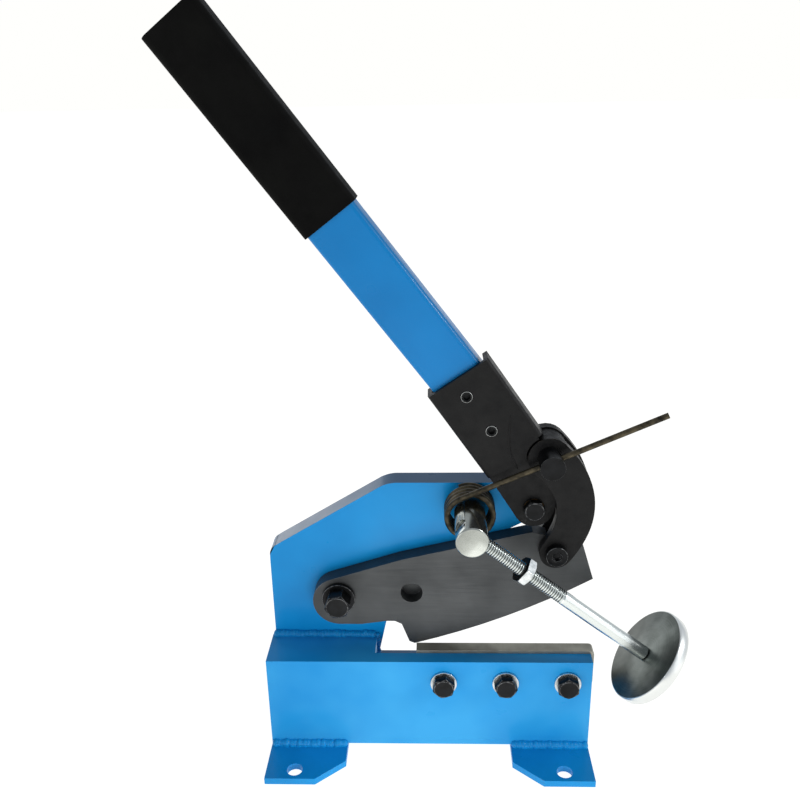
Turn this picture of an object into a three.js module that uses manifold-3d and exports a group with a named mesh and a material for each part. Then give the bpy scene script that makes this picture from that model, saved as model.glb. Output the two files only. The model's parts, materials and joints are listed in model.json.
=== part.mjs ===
// A hand bench shear: a welded frame on two feet, a fixed lower blade, a swinging upper blade
// pulled down through a pair of curved links by a long lever, and a rod that holds the sheet down.
// Millimetres. X runs along the blades, Y to the rear, Z up. The frame plate's front face is at
// Y = 0 and the lower blade starts at X = 0; the whole is then moved so that its origin is the
// middle of the left foot's underside.
import * as THREE from 'three';
import Module from 'manifold-3d';
import { mergeVertices } from 'three/addons/utils/BufferGeometryUtils.js';

const wasm = await Module();
wasm.setup();

// Clearances
const seatGap = 0.3;          // between pieces that touch
const runGap = 0.3;           // round a pin in its hole
const overrun = 2;            // a cutting tool past its face
const roundSegments = 32;
const boltSegments = 24;

// Frame plate
const frameThick = 16;
const frameLeft = -103;
const frameTop = 198;
const frameShoulder = 142;    // height where the sloping edge starts
const slopeTopX = -19;
const armTopSetback = 13.6;   // the arm's flat top ends this far before the lever pivot
const frameCorner = 9;
const columnRight = -22;
const lowerArmTop = 50;
const noseRadius = 13;
const throatTop = 87;
const throatLean = 8;
const armRootX = -2;
const armRootZ = 126;

// Base
const footThick = 5;
const footWidth = 55;
const footFront = 65.6;
const footRear = 46;
const footChamferWide = 20;
const footChamferDeep = 17;
const footHoleRadius = 5.5;
const footHoleInset = 20;     // from the foot's outer side
const footHoleSetback = 8.4;  // from the foot's front edge
const barLeft = -105;
const barTop = 76;
const barThick = 10;
const boltTipInset = 1;
const spacerRight = -29;
const spacerFloor = 30;
const weldLeg = 6;
const weldSides = 6;
const weldInset = 2;

// Blades
const lowerLength = 124.5;
const bladePastBar = 2.5;
const barRight = lowerLength - bladePastBar;
const lowerHeight = 26;
const lowerThick = 9;
const lowerRise = 2;          // above the bar
const lowerCorner = 3;
const shearGap = 0.3;
const upperThick = 12;
const pivotX = -54;
const pivotZ = 115.5;
const upperShort = 2.5;        // its far corner left of the lower blade's end
const upperReach = lowerLength - pivotX - upperShort;
const upperRise = 51.4;        // its top corner above the pivot
const upperEndRadius = 18.5;
const upperEndDrop = 3.8;     // its centre below the pivot
const edgeSteps = 8;
const upperHoleRadius = 7.7;
const upperHoleReach = 51;
const upperHoleRise = 3.6;
const upperHoleDepth = 10;
const linkFootInset = 27.3;    // lower link pin from the far corner
const linkFootRise = 39.3;     // and above the blade pivot
const linkFootReach = upperReach - linkFootInset;

// Lever, pivot on the frame's nose
const leverSetback = 15.1;     // lever pivot left of the lower link pin
const leverLift = 30.2;        // and above it
const leverX = pivotX + linkFootReach - leverSetback;
const leverZ = pivotZ + linkFootRise + leverLift;
const leverAngle = 55.5;      // sleeve above the horizontal, leaning left
const tubeLean = 2.6;         // how much flatter the handle lies in its sleeve
const leverLobe = 13.5;
const pinLobe = 13;
const pinOut = 29;            // link pin from the lever pivot, across the sleeve
const pinUp = 28;             // and along it
const sleeveOff = 11;         // sleeve axis beside the pivot
const sleeveWidth = 45.6;
const sleeveWall = 3.4;
const sleeveStart = 38.4;
const sleeveEnd = 107;
const sleeveFootDrop = 4.5;    // how far its front wall's lower edge slopes
const sleeveReach = 17;        // its side walls, front to back
const sleeveBend = 3;
const sleeveRightStart = 45;   // the right side wall starts above the link
const linkRoom = 1.5;          // front wall from the link's round end
const tubeWidth = 35.5;
const tubeDepth = 20;
const tubeWall = 2;
const tubeCorner = 3.5;
const tubeStart = 54;
const tubeEnd = 366;
const gripStart = 231;
const gripEnd = 372;
const gripWall = 1.8;
const gripCorner = 4.5;
const setScrewRadius = 3;
const setScrewLength = 7;
const setScrewProud = 0.6;
const setScrewFirst = 65.5;
const setScrewPitch = 28.2;
const setScrewShift = 2.2;     // left of the sleeve's middle
const socketRadius = 1.8;
const socketDepth = 3;

// Links
const linkThick = 7;
const linkTopRadius = 14;
const linkMidWidth = 25;
const linkFootRadius = 11.2;
const linkBow = 15;
const openPivotPlay = 6.6;    // the lower pin's room in the blade's open slot
const linkSteps = 20;

// Fasteners
const m8Radius = 4;
const m8Across = 13;
const m8Head = 5.5;
const m8Nut = 6.5;
const m8WasherRadius = 8.8;
const washerThick = 1.6;
const bladeBoltFirst = 19;     // from the blade's left end
const bladeBoltLast = 19.3;    // from its right end
const bladeBolts = 3;
const bladeBoltDrop = 17;     // below the bar's top
const m10Radius = 5;
const m10Across = 16;
const m10Head = 10;
const m10Nut = 8;
const pivotWasherRadius = 11.5;
const pivotWasherThick = 3;
const bushWall = 2.5;
const screwHeadRadius = 7.2;
const screwHeadHeight = 5;
const screwSocketRadius = 3.5;
const springPinShank = 6;
const springPinRadius = 8;
const springPinLength = 16;
const springPinHole = 6.3;    // cross hole from the link's face
const springPinPlay = 2;
const clipThick = 2;
const clipRadius = 9.5;

// Torsion spring
const wireRadius = 1.9;
const coilRadius = 15.3;
const coilCurls = 4;
const coilPitch = 4.5;
const coilBack = 3;           // rearmost wire axis from the frame
const coilShift = 0.8;        // the coil is drawn up off the post
const curlSteps = 8;
const wireSides = 5;
const armLength = 142;
const armSteps = 6;

// Hold-down
const postSetback = 42.8;      // left of the lever pivot
const postDrop = 3.4;          // and below it
const postX = leverX - postSetback;
const postZ = leverZ - postDrop;
const postRadius = 11;
const postLength = 53;
const postStud = 6;
const postNutAcross = 19;
const postNutHeight = 9;
const rodAngle = 37.8;        // below the horizontal
const rodRadius = 4.8;
const rodInset = 11.3;        // rod axis behind the post's front face
const rodTail = 9;            // rod past the post's axis
const rodReach = 147;         // pad's near face from the post's axis
const jamNutAcross = 17;
const jamNutHeight = 6.5;
const jamNutPlace = 40.5;
const padRadius = 33;
const padThick = 8;
const padRim = 1.2;

const radians = THREE.MathUtils.degToRad;

// Materials
const paint = new THREE.MeshStandardMaterial({ color: 0x2f86c8, roughness: 0.4, metalness: 0.1 });
const blackSteel = new THREE.MeshStandardMaterial({ color: 0x1b1b1d, roughness: 0.55, metalness: 0.5 });
const bladeSteel = new THREE.MeshStandardMaterial({ color: 0x4a4a4c, roughness: 0.45, metalness: 0.8 });
const groundSteel = new THREE.MeshStandardMaterial({ color: 0x7b7468, roughness: 0.4, metalness: 0.9 });
const zinc = new THREE.MeshStandardMaterial({ color: 0xc9cccd, roughness: 0.35, metalness: 0.9 });
const vinyl = new THREE.MeshStandardMaterial({ color: 0x151515, roughness: 0.6, metalness: 0 });
const bronze = new THREE.MeshStandardMaterial({ color: 0xa97f45, roughness: 0.4, metalness: 0.9 });
const springSteel = new THREE.MeshStandardMaterial({ color: 0x4d4034, roughness: 0.4, metalness: 0.8 });

// Solids for joining and cutting
function toSolid(geometry) {
  const bare = geometry.clone();
  bare.deleteAttribute('normal');
  bare.deleteAttribute('uv');
  const merged = mergeVertices(bare, 1e-4);
  const mesh = new wasm.Mesh({
    numProp: 3,
    vertProperties: new Float32Array(merged.attributes.position.array),
    triVerts: new Uint32Array(merged.index.array),
  });
  return new wasm.Manifold(mesh);
}

function toGeometry(solid) {
  const mesh = solid.getMesh();
  const geometry = new THREE.BufferGeometry();
  geometry.setAttribute('position', new THREE.BufferAttribute(new Float32Array(mesh.vertProperties), 3));
  geometry.setIndex(new THREE.BufferAttribute(new Uint32Array(mesh.triVerts), 1));
  return geometry;
}

function unite(first, ...others) {
  return toGeometry(others.reduce((sum, geometry) => sum.add(toSolid(geometry)), toSolid(first)));
}

function cut(first, ...tools) {
  return toGeometry(tools.reduce((rest, geometry) => rest.subtract(toSolid(geometry)), toSolid(first)));
}

// Outlines, drawn in X and Z
function outline(points) {
  const corners = points.map(([x, z]) => new THREE.Vector2(x, z));
  return new THREE.Shape(THREE.ShapeUtils.isClockWise(corners) ? corners.reverse() : corners);
}

function roundedRect(width, height, radius) {
  const shape = new THREE.Shape();
  const w = width / 2;
  const h = height / 2;
  shape.moveTo(-w + radius, -h);
  shape.lineTo(w - radius, -h);
  shape.absarc(w - radius, -h + radius, radius, -Math.PI / 2, 0, false);
  shape.lineTo(w, h - radius);
  shape.absarc(w - radius, h - radius, radius, 0, Math.PI / 2, false);
  shape.lineTo(-w + radius, h);
  shape.absarc(-w + radius, h - radius, radius, Math.PI / 2, Math.PI, false);
  shape.lineTo(-w, -h + radius);
  shape.absarc(-w + radius, -h + radius, radius, Math.PI, 1.5 * Math.PI, false);
  return shape;
}

function addHole(shape, x, z, radius) {
  const hole = new THREE.Path();
  hole.absarc(x, z, radius, 0, 2 * Math.PI, true);
  shape.holes.push(hole);
}

function arcPoints(x, z, radius, from, to, steps) {
  return Array.from({ length: steps + 1 }, (_, i) => {
    const angle = radians(from + (to - from) * i / steps);
    return [x + radius * Math.cos(angle), z + radius * Math.sin(angle)];
  });
}

// A flat plate: its outline stands in X and Z, its rear face is at y = back
function plate(shape, back, thick) {
  const geometry = new THREE.ExtrudeGeometry(shape, {
    depth: thick, bevelEnabled: false, curveSegments: 10,
  });
  geometry.rotateX(Math.PI / 2);
  geometry.translate(0, back, 0);
  return geometry;
}

// A round bar along Y from front to back
function barAlongY(radius, front, back, segments = roundSegments) {
  const geometry = new THREE.CylinderGeometry(radius, radius, back - front, segments);
  geometry.translate(0, (front + back) / 2, 0);
  return geometry;
}

function hexAlongY(across, front, back) {
  return barAlongY(across / Math.sqrt(3), front, back, 6);
}

// A washer or bush along Y
function ringAlongY(outer, inner, front, back) {
  const points = [[inner, front], [outer, front], [outer, back], [inner, back], [inner, front]];
  return new THREE.LatheGeometry(points.map(([r, y]) => new THREE.Vector2(r, y)), roundSegments);
}

function hexBolt(across, head, radius, face, tip) {
  return unite(hexAlongY(across, face - head, face), barAlongY(radius, face - overrun, tip, boltSegments));
}

function hexNut(across, radius, front, back) {
  return cut(hexAlongY(across, front, back), barAlongY(radius, front - overrun, back + overrun, boltSegments));
}

// Planes, front to back
const upperBack = -seatGap;
const upperFront = upperBack - upperThick;
const lowerBack = upperFront - shearGap;
const lowerFront = lowerBack - lowerThick;
const barBack = lowerFront - seatGap;
const barFace = barBack - barThick;
const frontLinkBack = upperFront - seatGap;
const frontLinkFace = frontLinkBack - linkThick;
const rearLinkBack = seatGap + linkThick;
const rearNutFace = frameThick + seatGap;
const tubeMiddle = (upperBack + upperFront) / 2;
const sleeveFace = tubeMiddle - tubeDepth / 2 - seatGap - sleeveWall;

const part = new THREE.Group();
const datumX = barLeft + footWidth / 2;
const datumY = (footRear - footFront) / 2;
part.position.set(-datumX, -datumY, 0);

function place(name, geometry, material, parent = part) {
  const mesh = new THREE.Mesh(geometry, material);
  mesh.name = name;
  parent.add(mesh);
  return mesh;
}

// The frame plate: a column with a sloping shoulder, an arm with a round nose over the blades
// and a low arm behind them
function framePlate() {
  const shape = outline([
    [frameLeft, footThick + seatGap],
    [barRight, footThick + seatGap],
    [barRight, lowerArmTop],
    [columnRight - throatLean, lowerArmTop],
    [columnRight, throatTop],
    [armRootX, armRootZ],
    ...arcPoints(leverX, leverZ, noseRadius, -80, 60, 12),
    [leverX - armTopSetback, frameTop],
    [slopeTopX, frameTop],
    ...arcPoints(frameLeft + frameCorner, frameShoulder, frameCorner, 125, 180, 4),
  ]);
  addHole(shape, pivotX, pivotZ, m10Radius + runGap);
  addHole(shape, leverX, leverZ, m8Radius + runGap);
  addHole(shape, postX, postZ, postStud + runGap);
  return plate(shape, frameThick, frameThick);
}

// A foot plate, drawn in X and Y: its front inner corner is cut off and it has a hole at each end
function footPlate(side) {
  const outer = side > 0 ? barRight : barLeft;
  const inner = outer - side * footWidth;
  const shape = outline([
    [outer, -footFront], [inner + side * footChamferWide, -footFront],
    [inner, -footFront + footChamferDeep], [inner, footRear - footChamferDeep],
    [inner + side * footChamferWide, footRear], [outer, footRear],
  ]);
  const holeX = outer - side * footHoleInset;
  addHole(shape, holeX, -footFront + footHoleSetback, footHoleRadius);
  addHole(shape, holeX, footRear - footHoleSetback, footHoleRadius);
  return new THREE.ExtrudeGeometry(shape, { depth: footThick, bevelEnabled: false, curveSegments: 10 });
}

// A fillet weld along X, in the corner of an upright face at y = wall and a level one at z = floor
function filletWeld(left, right, wall, floor) {
  const section = outline([[0, 0], ...arcPoints(0, 0, weldLeg, 0, 90, weldSides)]);
  const geometry = new THREE.ExtrudeGeometry(section, { depth: right - left, bevelEnabled: false });
  geometry.applyMatrix4(new THREE.Matrix4().makeBasis(
    new THREE.Vector3(0, -1, 0), new THREE.Vector3(0, 0, 1), new THREE.Vector3(-1, 0, 0),
  ));
  geometry.translate(right, wall - seatGap, floor + seatGap);
  return geometry;
}

const bladeBoltPitch = (lowerLength - bladeBoltFirst - bladeBoltLast) / (bladeBolts - 1);
const bladeBoltPlaces = Array.from({ length: bladeBolts }, (_, i) => bladeBoltFirst + i * bladeBoltPitch);
const bladeBoltHeight = barTop - bladeBoltDrop;

function baseBar() {
  const shape = outline([
    [barLeft, footThick + seatGap], [barRight, footThick + seatGap], [barRight, barTop], [barLeft, barTop],
  ]);
  bladeBoltPlaces.forEach((x) => addHole(shape, x, bladeBoltHeight, m8Radius + runGap));
  return plate(shape, barBack, barThick);
}

function jawSpacer() {
  const shape = outline([
    [barLeft, spacerFloor], [spacerRight, spacerFloor], [spacerRight, barTop], [barLeft, barTop],
  ]);
  return plate(shape, -seatGap, -seatGap - barBack - seatGap);
}

function lowerBlade() {
  const top = barTop + lowerRise;
  const shape = outline([
    [0, top - lowerHeight], [lowerLength, top - lowerHeight],
    ...arcPoints(lowerLength - lowerCorner, top - lowerCorner, lowerCorner, 0, 90, 4), [0, top],
  ]);
  bladeBoltPlaces.forEach((x) => addHole(shape, x, bladeBoltHeight, m8Radius + runGap));
  return plate(shape, lowerBack, lowerThick);
}

// The upper blade, drawn from its pivot. Shares are of its reach and of its rise.
function upperBlade() {
  const heelShares = [[0.086, -0.435], [0.186, -0.384], [0.221, -0.384], [0.248, -0.431], [0.278, -0.712]];
  const edgeShares = [[0.3, -0.743], [0.67, -0.384], [1, 0.291]];
  const topShares = [[0.955, 0.794], [0.759, 1], [0.246, 0.575]];
  const size = ([x, z]) => [x * upperReach, z * upperRise];
  const [start, bend, end] = edgeShares.map((share) => new THREE.Vector2(...size(share)));
  const edge = new THREE.QuadraticBezierCurve(start, bend, end).getPoints(edgeSteps).map((p) => [p.x, p.y]);
  const shape = outline([
    ...heelShares.map(size), ...edge, ...topShares.map(size),
    ...arcPoints(0, -upperEndDrop, upperEndRadius, 104, 268, 14),
  ]);
  addHole(shape, 0, 0, m10Radius + runGap + bushWall + runGap);
  const hole = barAlongY(upperHoleRadius, upperFront - overrun, upperFront + upperHoleDepth);
  hole.translate(upperHoleReach, 0, upperHoleRise);
  const slot = barAlongY(m8Radius + openPivotPlay, upperFront - overrun, upperBack + overrun);
  slot.translate(linkFootReach, 0, linkFootRise);
  return cut(plate(shape, upperBack, upperThick), hole, slot);
}

// The lever plate carries the lever's pivot and the links' upper pin; its tongue is welded
// between the walls of the sleeve. Drawn from the pivot, with Z along the sleeve.
const sleeveLeft = sleeveOff - sleeveWidth / 2;
const sleeveRight = sleeveOff + sleeveWidth / 2;

function leverPlate() {
  const tongueTop = tubeStart - tubeWidth / 2 * Math.sin(radians(tubeLean)) - seatGap;
  const inset = sleeveWall + seatGap;
  const tangent = THREE.MathUtils.radToDeg(Math.atan2(pinUp, pinOut)) - 90;
  const leftShoulder = sleeveStart - seatGap;
  const rightShoulder = sleeveRightStart - seatGap;
  const shape = outline([
    ...arcPoints(0, 0, leverLobe, -180, tangent, 12),
    ...arcPoints(pinOut, pinUp, pinLobe, tangent, 70, 10),
    [sleeveRight, rightShoulder], [sleeveRight - inset, rightShoulder], [sleeveRight - inset, tongueTop],
    [sleeveLeft + inset, tongueTop], [sleeveLeft + inset, leftShoulder], [sleeveLeft, leftShoulder],
  ]);
  addHole(shape, 0, 0, m8Radius + runGap + bushWall + runGap);
  addHole(shape, pinOut, pinUp, springPinShank + runGap);
  return plate(shape, upperBack, upperThick);
}

// The sleeve: a plate bent into a channel round the handle's foot. Its lower edge slopes down
// to the right and is cut round the link's eye, and the right side wall starts above the link.
function leverSleeve() {
  const low = sleeveStart - sleeveFootDrop;
  const height = sleeveEnd - low;
  const block = (width, depth, radius, back) => {
    const geometry = new THREE.ExtrudeGeometry(roundedRect(width, depth, radius), {
      depth: height, bevelEnabled: false, curveSegments: 5,
    });
    geometry.translate(sleeveOff, back - depth / 2, low);
    return geometry;
  };
  const skin = block(sleeveWidth, 2 * sleeveReach, sleeveBend, sleeveFace + 2 * sleeveReach);
  const inside = block(
    sleeveWidth - 2 * sleeveWall, 2 * sleeveReach, tubeCorner / 2, sleeveFace + sleeveWall + 2 * sleeveReach,
  );
  const rear = new THREE.BoxGeometry(2 * sleeveWidth, 2 * sleeveReach, 4 * height);
  rear.translate(sleeveOff, sleeveFace + 2 * sleeveReach, low);
  const foot = plate(outline([
    [sleeveLeft - overrun, sleeveStart], [sleeveLeft + sleeveWall, sleeveStart], [sleeveRight, low],
    [sleeveRight + overrun, low], [sleeveRight + overrun, low - overrun], [sleeveLeft - overrun, low - overrun],
  ]), 0, -4 * sleeveFace);
  foot.translate(0, -sleeveFace, 0);
  const rightFoot = new THREE.BoxGeometry(2 * sleeveWall, 2 * sleeveReach, 2 * sleeveRightStart);
  rightFoot.translate(sleeveRight, sleeveFace + sleeveReach, 0);
  const eye = barAlongY(linkTopRadius + linkRoom, sleeveFace - overrun, 0);
  eye.translate(pinOut, 0, pinUp);
  const screwHoles = setScrewPlaces.map((along) => setScrewTool(along, setScrewRadius + runGap));
  return cut(skin, inside, rear, foot, rightFoot, eye, ...screwHoles);
}

const setScrewPlaces = [setScrewFirst, setScrewFirst + setScrewPitch];

function setScrewTool(along, radius) {
  const reach = sleeveWall + seatGap + tubeWall + overrun;
  const tool = barAlongY(radius, sleeveFace - overrun, sleeveFace + reach, boltSegments);
  tool.translate(sleeveOff - setScrewShift, 0, along);
  return tool;
}

function setScrew(along) {
  const front = sleeveFace - setScrewProud;
  const socket = barAlongY(socketRadius, front - overrun, front + socketDepth, 6);
  const screw = cut(barAlongY(setScrewRadius, front, front + setScrewLength, boltSegments), socket);
  screw.translate(sleeveOff - setScrewShift, 0, along);
  return screw;
}

// The handle lies a little flatter than its sleeve, turned about the middle of its seat
function leanWithTube(geometry) {
  const middle = (tubeStart + sleeveEnd) / 2;
  geometry.translate(0, tubeMiddle, -middle);
  geometry.rotateY(-radians(tubeLean));
  geometry.translate(sleeveOff, 0, middle);
  return geometry;
}

function handleTube() {
  const section = roundedRect(tubeWidth, tubeDepth, tubeCorner);
  const bore = roundedRect(tubeWidth - 2 * tubeWall, tubeDepth - 2 * tubeWall, tubeCorner - tubeWall);
  section.holes.push(new THREE.Path(bore.getPoints(4).reverse()));
  const tube = new THREE.ExtrudeGeometry(section, {
    depth: tubeEnd - tubeStart, bevelEnabled: false, curveSegments: 4,
  });
  tube.translate(0, 0, tubeStart);
  const screwHoles = setScrewPlaces.map((along) => setScrewTool(along, setScrewRadius + runGap));
  return cut(leanWithTube(tube), ...screwHoles);
}

function handleGrip() {
  const skin = roundedRect(tubeWidth + 2 * gripWall, tubeDepth + 2 * gripWall, gripCorner);
  const bore = roundedRect(tubeWidth + 2 * seatGap, tubeDepth + 2 * seatGap, tubeCorner + seatGap);
  const outer = new THREE.ExtrudeGeometry(skin, {
    depth: gripEnd - gripStart, bevelEnabled: false, curveSegments: 5,
  });
  outer.translate(0, 0, gripStart);
  const inner = new THREE.ExtrudeGeometry(bore, {
    depth: tubeEnd + seatGap - gripStart + overrun, bevelEnabled: false, curveSegments: 5,
  });
  inner.translate(0, 0, gripStart - overrun);
  return leanWithTube(cut(outer, inner));
}

// A link, drawn from its upper pin with the lower pin straight below: a bowed strip whose
// width runs from the upper eye's to the lower's
function linkShape(length) {
  const middle = (t) => [4 * linkBow * t * (1 - t), -length * t];
  const half = (t) => (t < 0.5
    ? THREE.MathUtils.lerp(linkTopRadius, linkMidWidth / 2, 2 * t)
    : THREE.MathUtils.lerp(linkMidWidth / 2, linkFootRadius, 2 * t - 1));
  const heading = (t) => Math.atan2(-length, 4 * linkBow * (1 - 2 * t));
  const side = (t, sign) => {
    const [x, z] = middle(t);
    const turn = heading(t) + sign * Math.PI / 2;
    return [x + half(t) * Math.cos(turn), z + half(t) * Math.sin(turn)];
  };
  const steps = Array.from({ length: linkSteps - 1 }, (_, i) => (i + 1) / linkSteps);
  const degrees = (t) => THREE.MathUtils.radToDeg(heading(t));
  const shape = outline([
    ...arcPoints(0, 0, linkTopRadius, degrees(0) + 90, degrees(0) + 270, 12),
    ...steps.map((t) => side(t, -1)),
    ...arcPoints(0, -length, linkFootRadius, degrees(1) - 90, degrees(1) + 90, 12),
    ...steps.reverse().map((t) => side(t, 1)),
  ]);
  addHole(shape, 0, 0, springPinShank + runGap);
  addHole(shape, 0, -length, m8Radius + runGap);
  return shape;
}

// A wire as one closed tube of rings along its points
function wireTube(points, radius, sides) {
  const count = points.length;
  const tangents = points.map((_, i) => points[Math.min(i + 1, count - 1)].clone()
    .sub(points[Math.max(i - 1, 0)]).normalize());
  const across = new THREE.Vector3(0, 1, 0);
  const places = [];
  points.forEach((point, i) => {
    across.addScaledVector(tangents[i], -across.dot(tangents[i])).normalize();
    const up = new THREE.Vector3().crossVectors(tangents[i], across);
    for (let side = 0; side < sides; side += 1) {
      const angle = 2 * Math.PI * side / sides;
      places.push(point.clone().addScaledVector(across, radius * Math.cos(angle))
        .addScaledVector(up, radius * Math.sin(angle)));
    }
  });
  const faces = [];
  for (let ring = 0; ring < count - 1; ring += 1) {
    for (let side = 0; side < sides; side += 1) {
      const a = ring * sides + side;
      const b = ring * sides + (side + 1) % sides;
      faces.push(a, b, a + sides, b, b + sides, a + sides);
    }
  }
  for (let side = 1; side < sides - 1; side += 1) {
    const last = (count - 1) * sides;
    faces.push(0, side + 1, side, last, last + side, last + side + 1);
  }
  const geometry = new THREE.BufferGeometry().setFromPoints(places);
  geometry.setIndex(faces);
  return geometry;
}

// The torsion spring: curls round the post from the frame forward, then a long straight leg
// through the cross hole of the spring pin. The leg touches the coil's circle from above.
function springCourse(pinX, pinZ) {
  const centreZ = postZ + coilShift;
  const distance = Math.hypot(pinX - postX, pinZ - centreZ);
  const legAngle = Math.atan2(pinZ - centreZ, pinX - postX) - Math.asin(coilRadius / distance);
  const coilFront = -(coilBack + coilCurls * coilPitch);
  const pinPlane = frontLinkFace - springPinHole;
  const touch = Math.sqrt(distance ** 2 - coilRadius ** 2);
  const slope = (pinPlane - coilFront) / touch;
  const points = [];
  const turns = coilCurls * curlSteps;
  for (let i = 0; i <= turns; i += 1) {
    const left = 1 - i / turns;
    const angle = legAngle + Math.PI / 2 + left * coilCurls * 2 * Math.PI;
    points.push(new THREE.Vector3(
      postX + coilRadius * Math.cos(angle),
      THREE.MathUtils.lerp(coilFront, -coilBack, left),
      centreZ + coilRadius * Math.sin(angle),
    ));
  }
  const start = points[turns];
  for (let i = 1; i <= armSteps; i += 1) {
    const along = armLength * i / armSteps;
    points.push(new THREE.Vector3(
      start.x + along * Math.cos(legAngle), start.y + along * slope, start.z + along * Math.sin(legAngle),
    ));
  }
  return { points, legAngle, slope };
}

function leastGap(points) {
  let least = Infinity;
  points.forEach((p, i) => points.slice(i + curlSteps / 2).forEach((q) => {
    least = Math.min(least, p.distanceTo(q) - 2 * wireRadius);
  }));
  return least;
}

// The spring pin: the links' upper pin, with a cross-drilled head that the spring's leg slides in
function springPin(legAngle, slope) {
  const body = unite(
    barAlongY(springPinRadius, frontLinkFace - seatGap - springPinLength, frontLinkFace - seatGap),
    barAlongY(springPinShank, frontLinkFace - overrun, rearLinkBack + seatGap + clipThick + clipThick, boltSegments),
  );
  const hole = new THREE.CylinderGeometry(
    wireRadius + springPinPlay, wireRadius + springPinPlay, 4 * springPinRadius, boltSegments,
  );
  hole.rotateZ(-Math.PI / 2);
  hole.rotateZ(Math.atan(slope));
  hole.rotateY(-legAngle);
  hole.translate(0, frontLinkFace - springPinHole, 0);
  return cut(body, hole);
}

// The links' lower pin: a cap screw through both links and the blade between them
function linkScrew() {
  const face = frontLinkFace - seatGap;
  const socket = barAlongY(screwSocketRadius, face - screwHeadHeight - overrun, face - screwHeadHeight / 2, 6);
  const tip = rearLinkBack + seatGap + m8Nut + overrun;
  return cut(unite(
    barAlongY(screwHeadRadius, face - screwHeadHeight, face),
    barAlongY(m8Radius, face - screwHeadHeight / 2, tip, boltSegments),
  ), socket);
}

// Pieces along the hold-down rod are drawn with Z along it
function alongZ(geometry, start, length) {
  geometry.rotateX(Math.PI / 2);
  geometry.translate(0, 0, start + length / 2);
  return geometry;
}

function rodLikeBar(radius, start, end, segments = boltSegments) {
  return alongZ(new THREE.CylinderGeometry(radius, radius, end - start, segments), start, end - start);
}

const rodTurn = radians(90 + rodAngle);
const rodPlane = -postLength + rodInset;

function holdDownPost() {
  const bore = rodLikeBar(rodRadius + runGap, -2 * postRadius, 2 * postRadius);
  bore.rotateY(rodTurn);
  bore.translate(0, rodPlane, 0);
  return cut(unite(
    barAlongY(postRadius, -postLength, -seatGap),
    barAlongY(postStud, -overrun, rearNutFace + postNutHeight + overrun, boltSegments),
  ), bore);
}

function pressurePad() {
  const profile = [
    [0, 0], [padRadius - padRim, 0], [padRadius, padRim], [padRadius, padThick - padRim],
    [padRadius - padRim, padThick], [0, padThick],
  ];
  const pad = new THREE.LatheGeometry(profile.map(([r, z]) => new THREE.Vector2(r, z)), 40);
  pad.rotateX(Math.PI / 2);
  pad.translate(0, 0, rodReach + seatGap);
  return pad;
}

// Frame and base
place('frame_plate', framePlate(), paint);
place('jaw_spacer', jawSpacer(), paint);
place('base_bar', baseBar(), paint);
place('left_foot', footPlate(-1), paint);
place('right_foot', footPlate(1), paint);
place('frame_weld', filletWeld(frameLeft, spacerRight - weldInset, 0, barTop), paint);
[['left_foot_weld', barLeft], ['right_foot_weld', barRight - footWidth]].forEach(([name, left]) => {
  place(name, filletWeld(left + weldInset, left + footWidth - weldInset, barFace, footThick), paint);
});

// Lower blade and its bolts
place('lower_blade', lowerBlade(), groundSteel);
bladeBoltPlaces.forEach((x, i) => {
  const washerFace = barFace - seatGap - washerThick;
  const washer = ringAlongY(m8WasherRadius, m8Radius + runGap, washerFace, barFace - seatGap);
  const bolt = hexBolt(m8Across, m8Head, m8Radius, washerFace - seatGap, lowerBack - boltTipInset);
  place(`blade_washer_${i + 1}`, washer, zinc).position.set(x, 0, bladeBoltHeight);
  place(`blade_bolt_${i + 1}`, bolt, blackSteel).position.set(x, 0, bladeBoltHeight);
});

// Upper blade on its pivot
const bladePivot = new THREE.Group();
bladePivot.position.set(pivotX, 0, pivotZ);
part.add(bladePivot);
const pivotWasherFace = upperFront - seatGap - pivotWasherThick;
place('upper_blade', upperBlade(), bladeSteel, bladePivot);
place('blade_bush', ringAlongY(
  m10Radius + runGap + bushWall, m10Radius + runGap, upperFront, upperBack,
), bronze, bladePivot);
place('pivot_washer', ringAlongY(
  pivotWasherRadius, m10Radius + runGap, pivotWasherFace, upperFront - seatGap,
), blackSteel, bladePivot);
place('pivot_bolt', hexBolt(
  m10Across, m10Head, m10Radius, pivotWasherFace - seatGap, rearNutFace + m10Nut + overrun,
), blackSteel, bladePivot);
place('pivot_nut', hexNut(m10Across, m10Radius + runGap, rearNutFace, rearNutFace + m10Nut), zinc, bladePivot);

// Lever
const lever = new THREE.Group();
lever.position.set(leverX, 0, leverZ);
part.add(lever);
const leverParts = new THREE.Group();
leverParts.rotation.y = -radians(90 - leverAngle);
lever.add(leverParts);
place('lever_plate', leverPlate(), blackSteel, leverParts);
place('lever_sleeve', leverSleeve(), blackSteel, leverParts);
place('handle_tube', handleTube(), paint, leverParts);
place('handle_grip', handleGrip(), vinyl, leverParts);
setScrewPlaces.forEach((along, i) => place(`set_screw_${i + 1}`, setScrew(along), zinc, leverParts));
place('lever_bush', ringAlongY(
  m8Radius + runGap + bushWall, m8Radius + runGap, upperFront, upperBack,
), bronze, lever);
place('lever_bolt', hexBolt(
  m8Across, m8Head, m8Radius, upperFront - seatGap, rearNutFace + m8Nut + overrun,
), blackSteel, lever);
place('lever_nut', hexNut(m8Across, m8Radius + runGap, rearNutFace, rearNutFace + m8Nut), zinc, lever);

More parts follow.
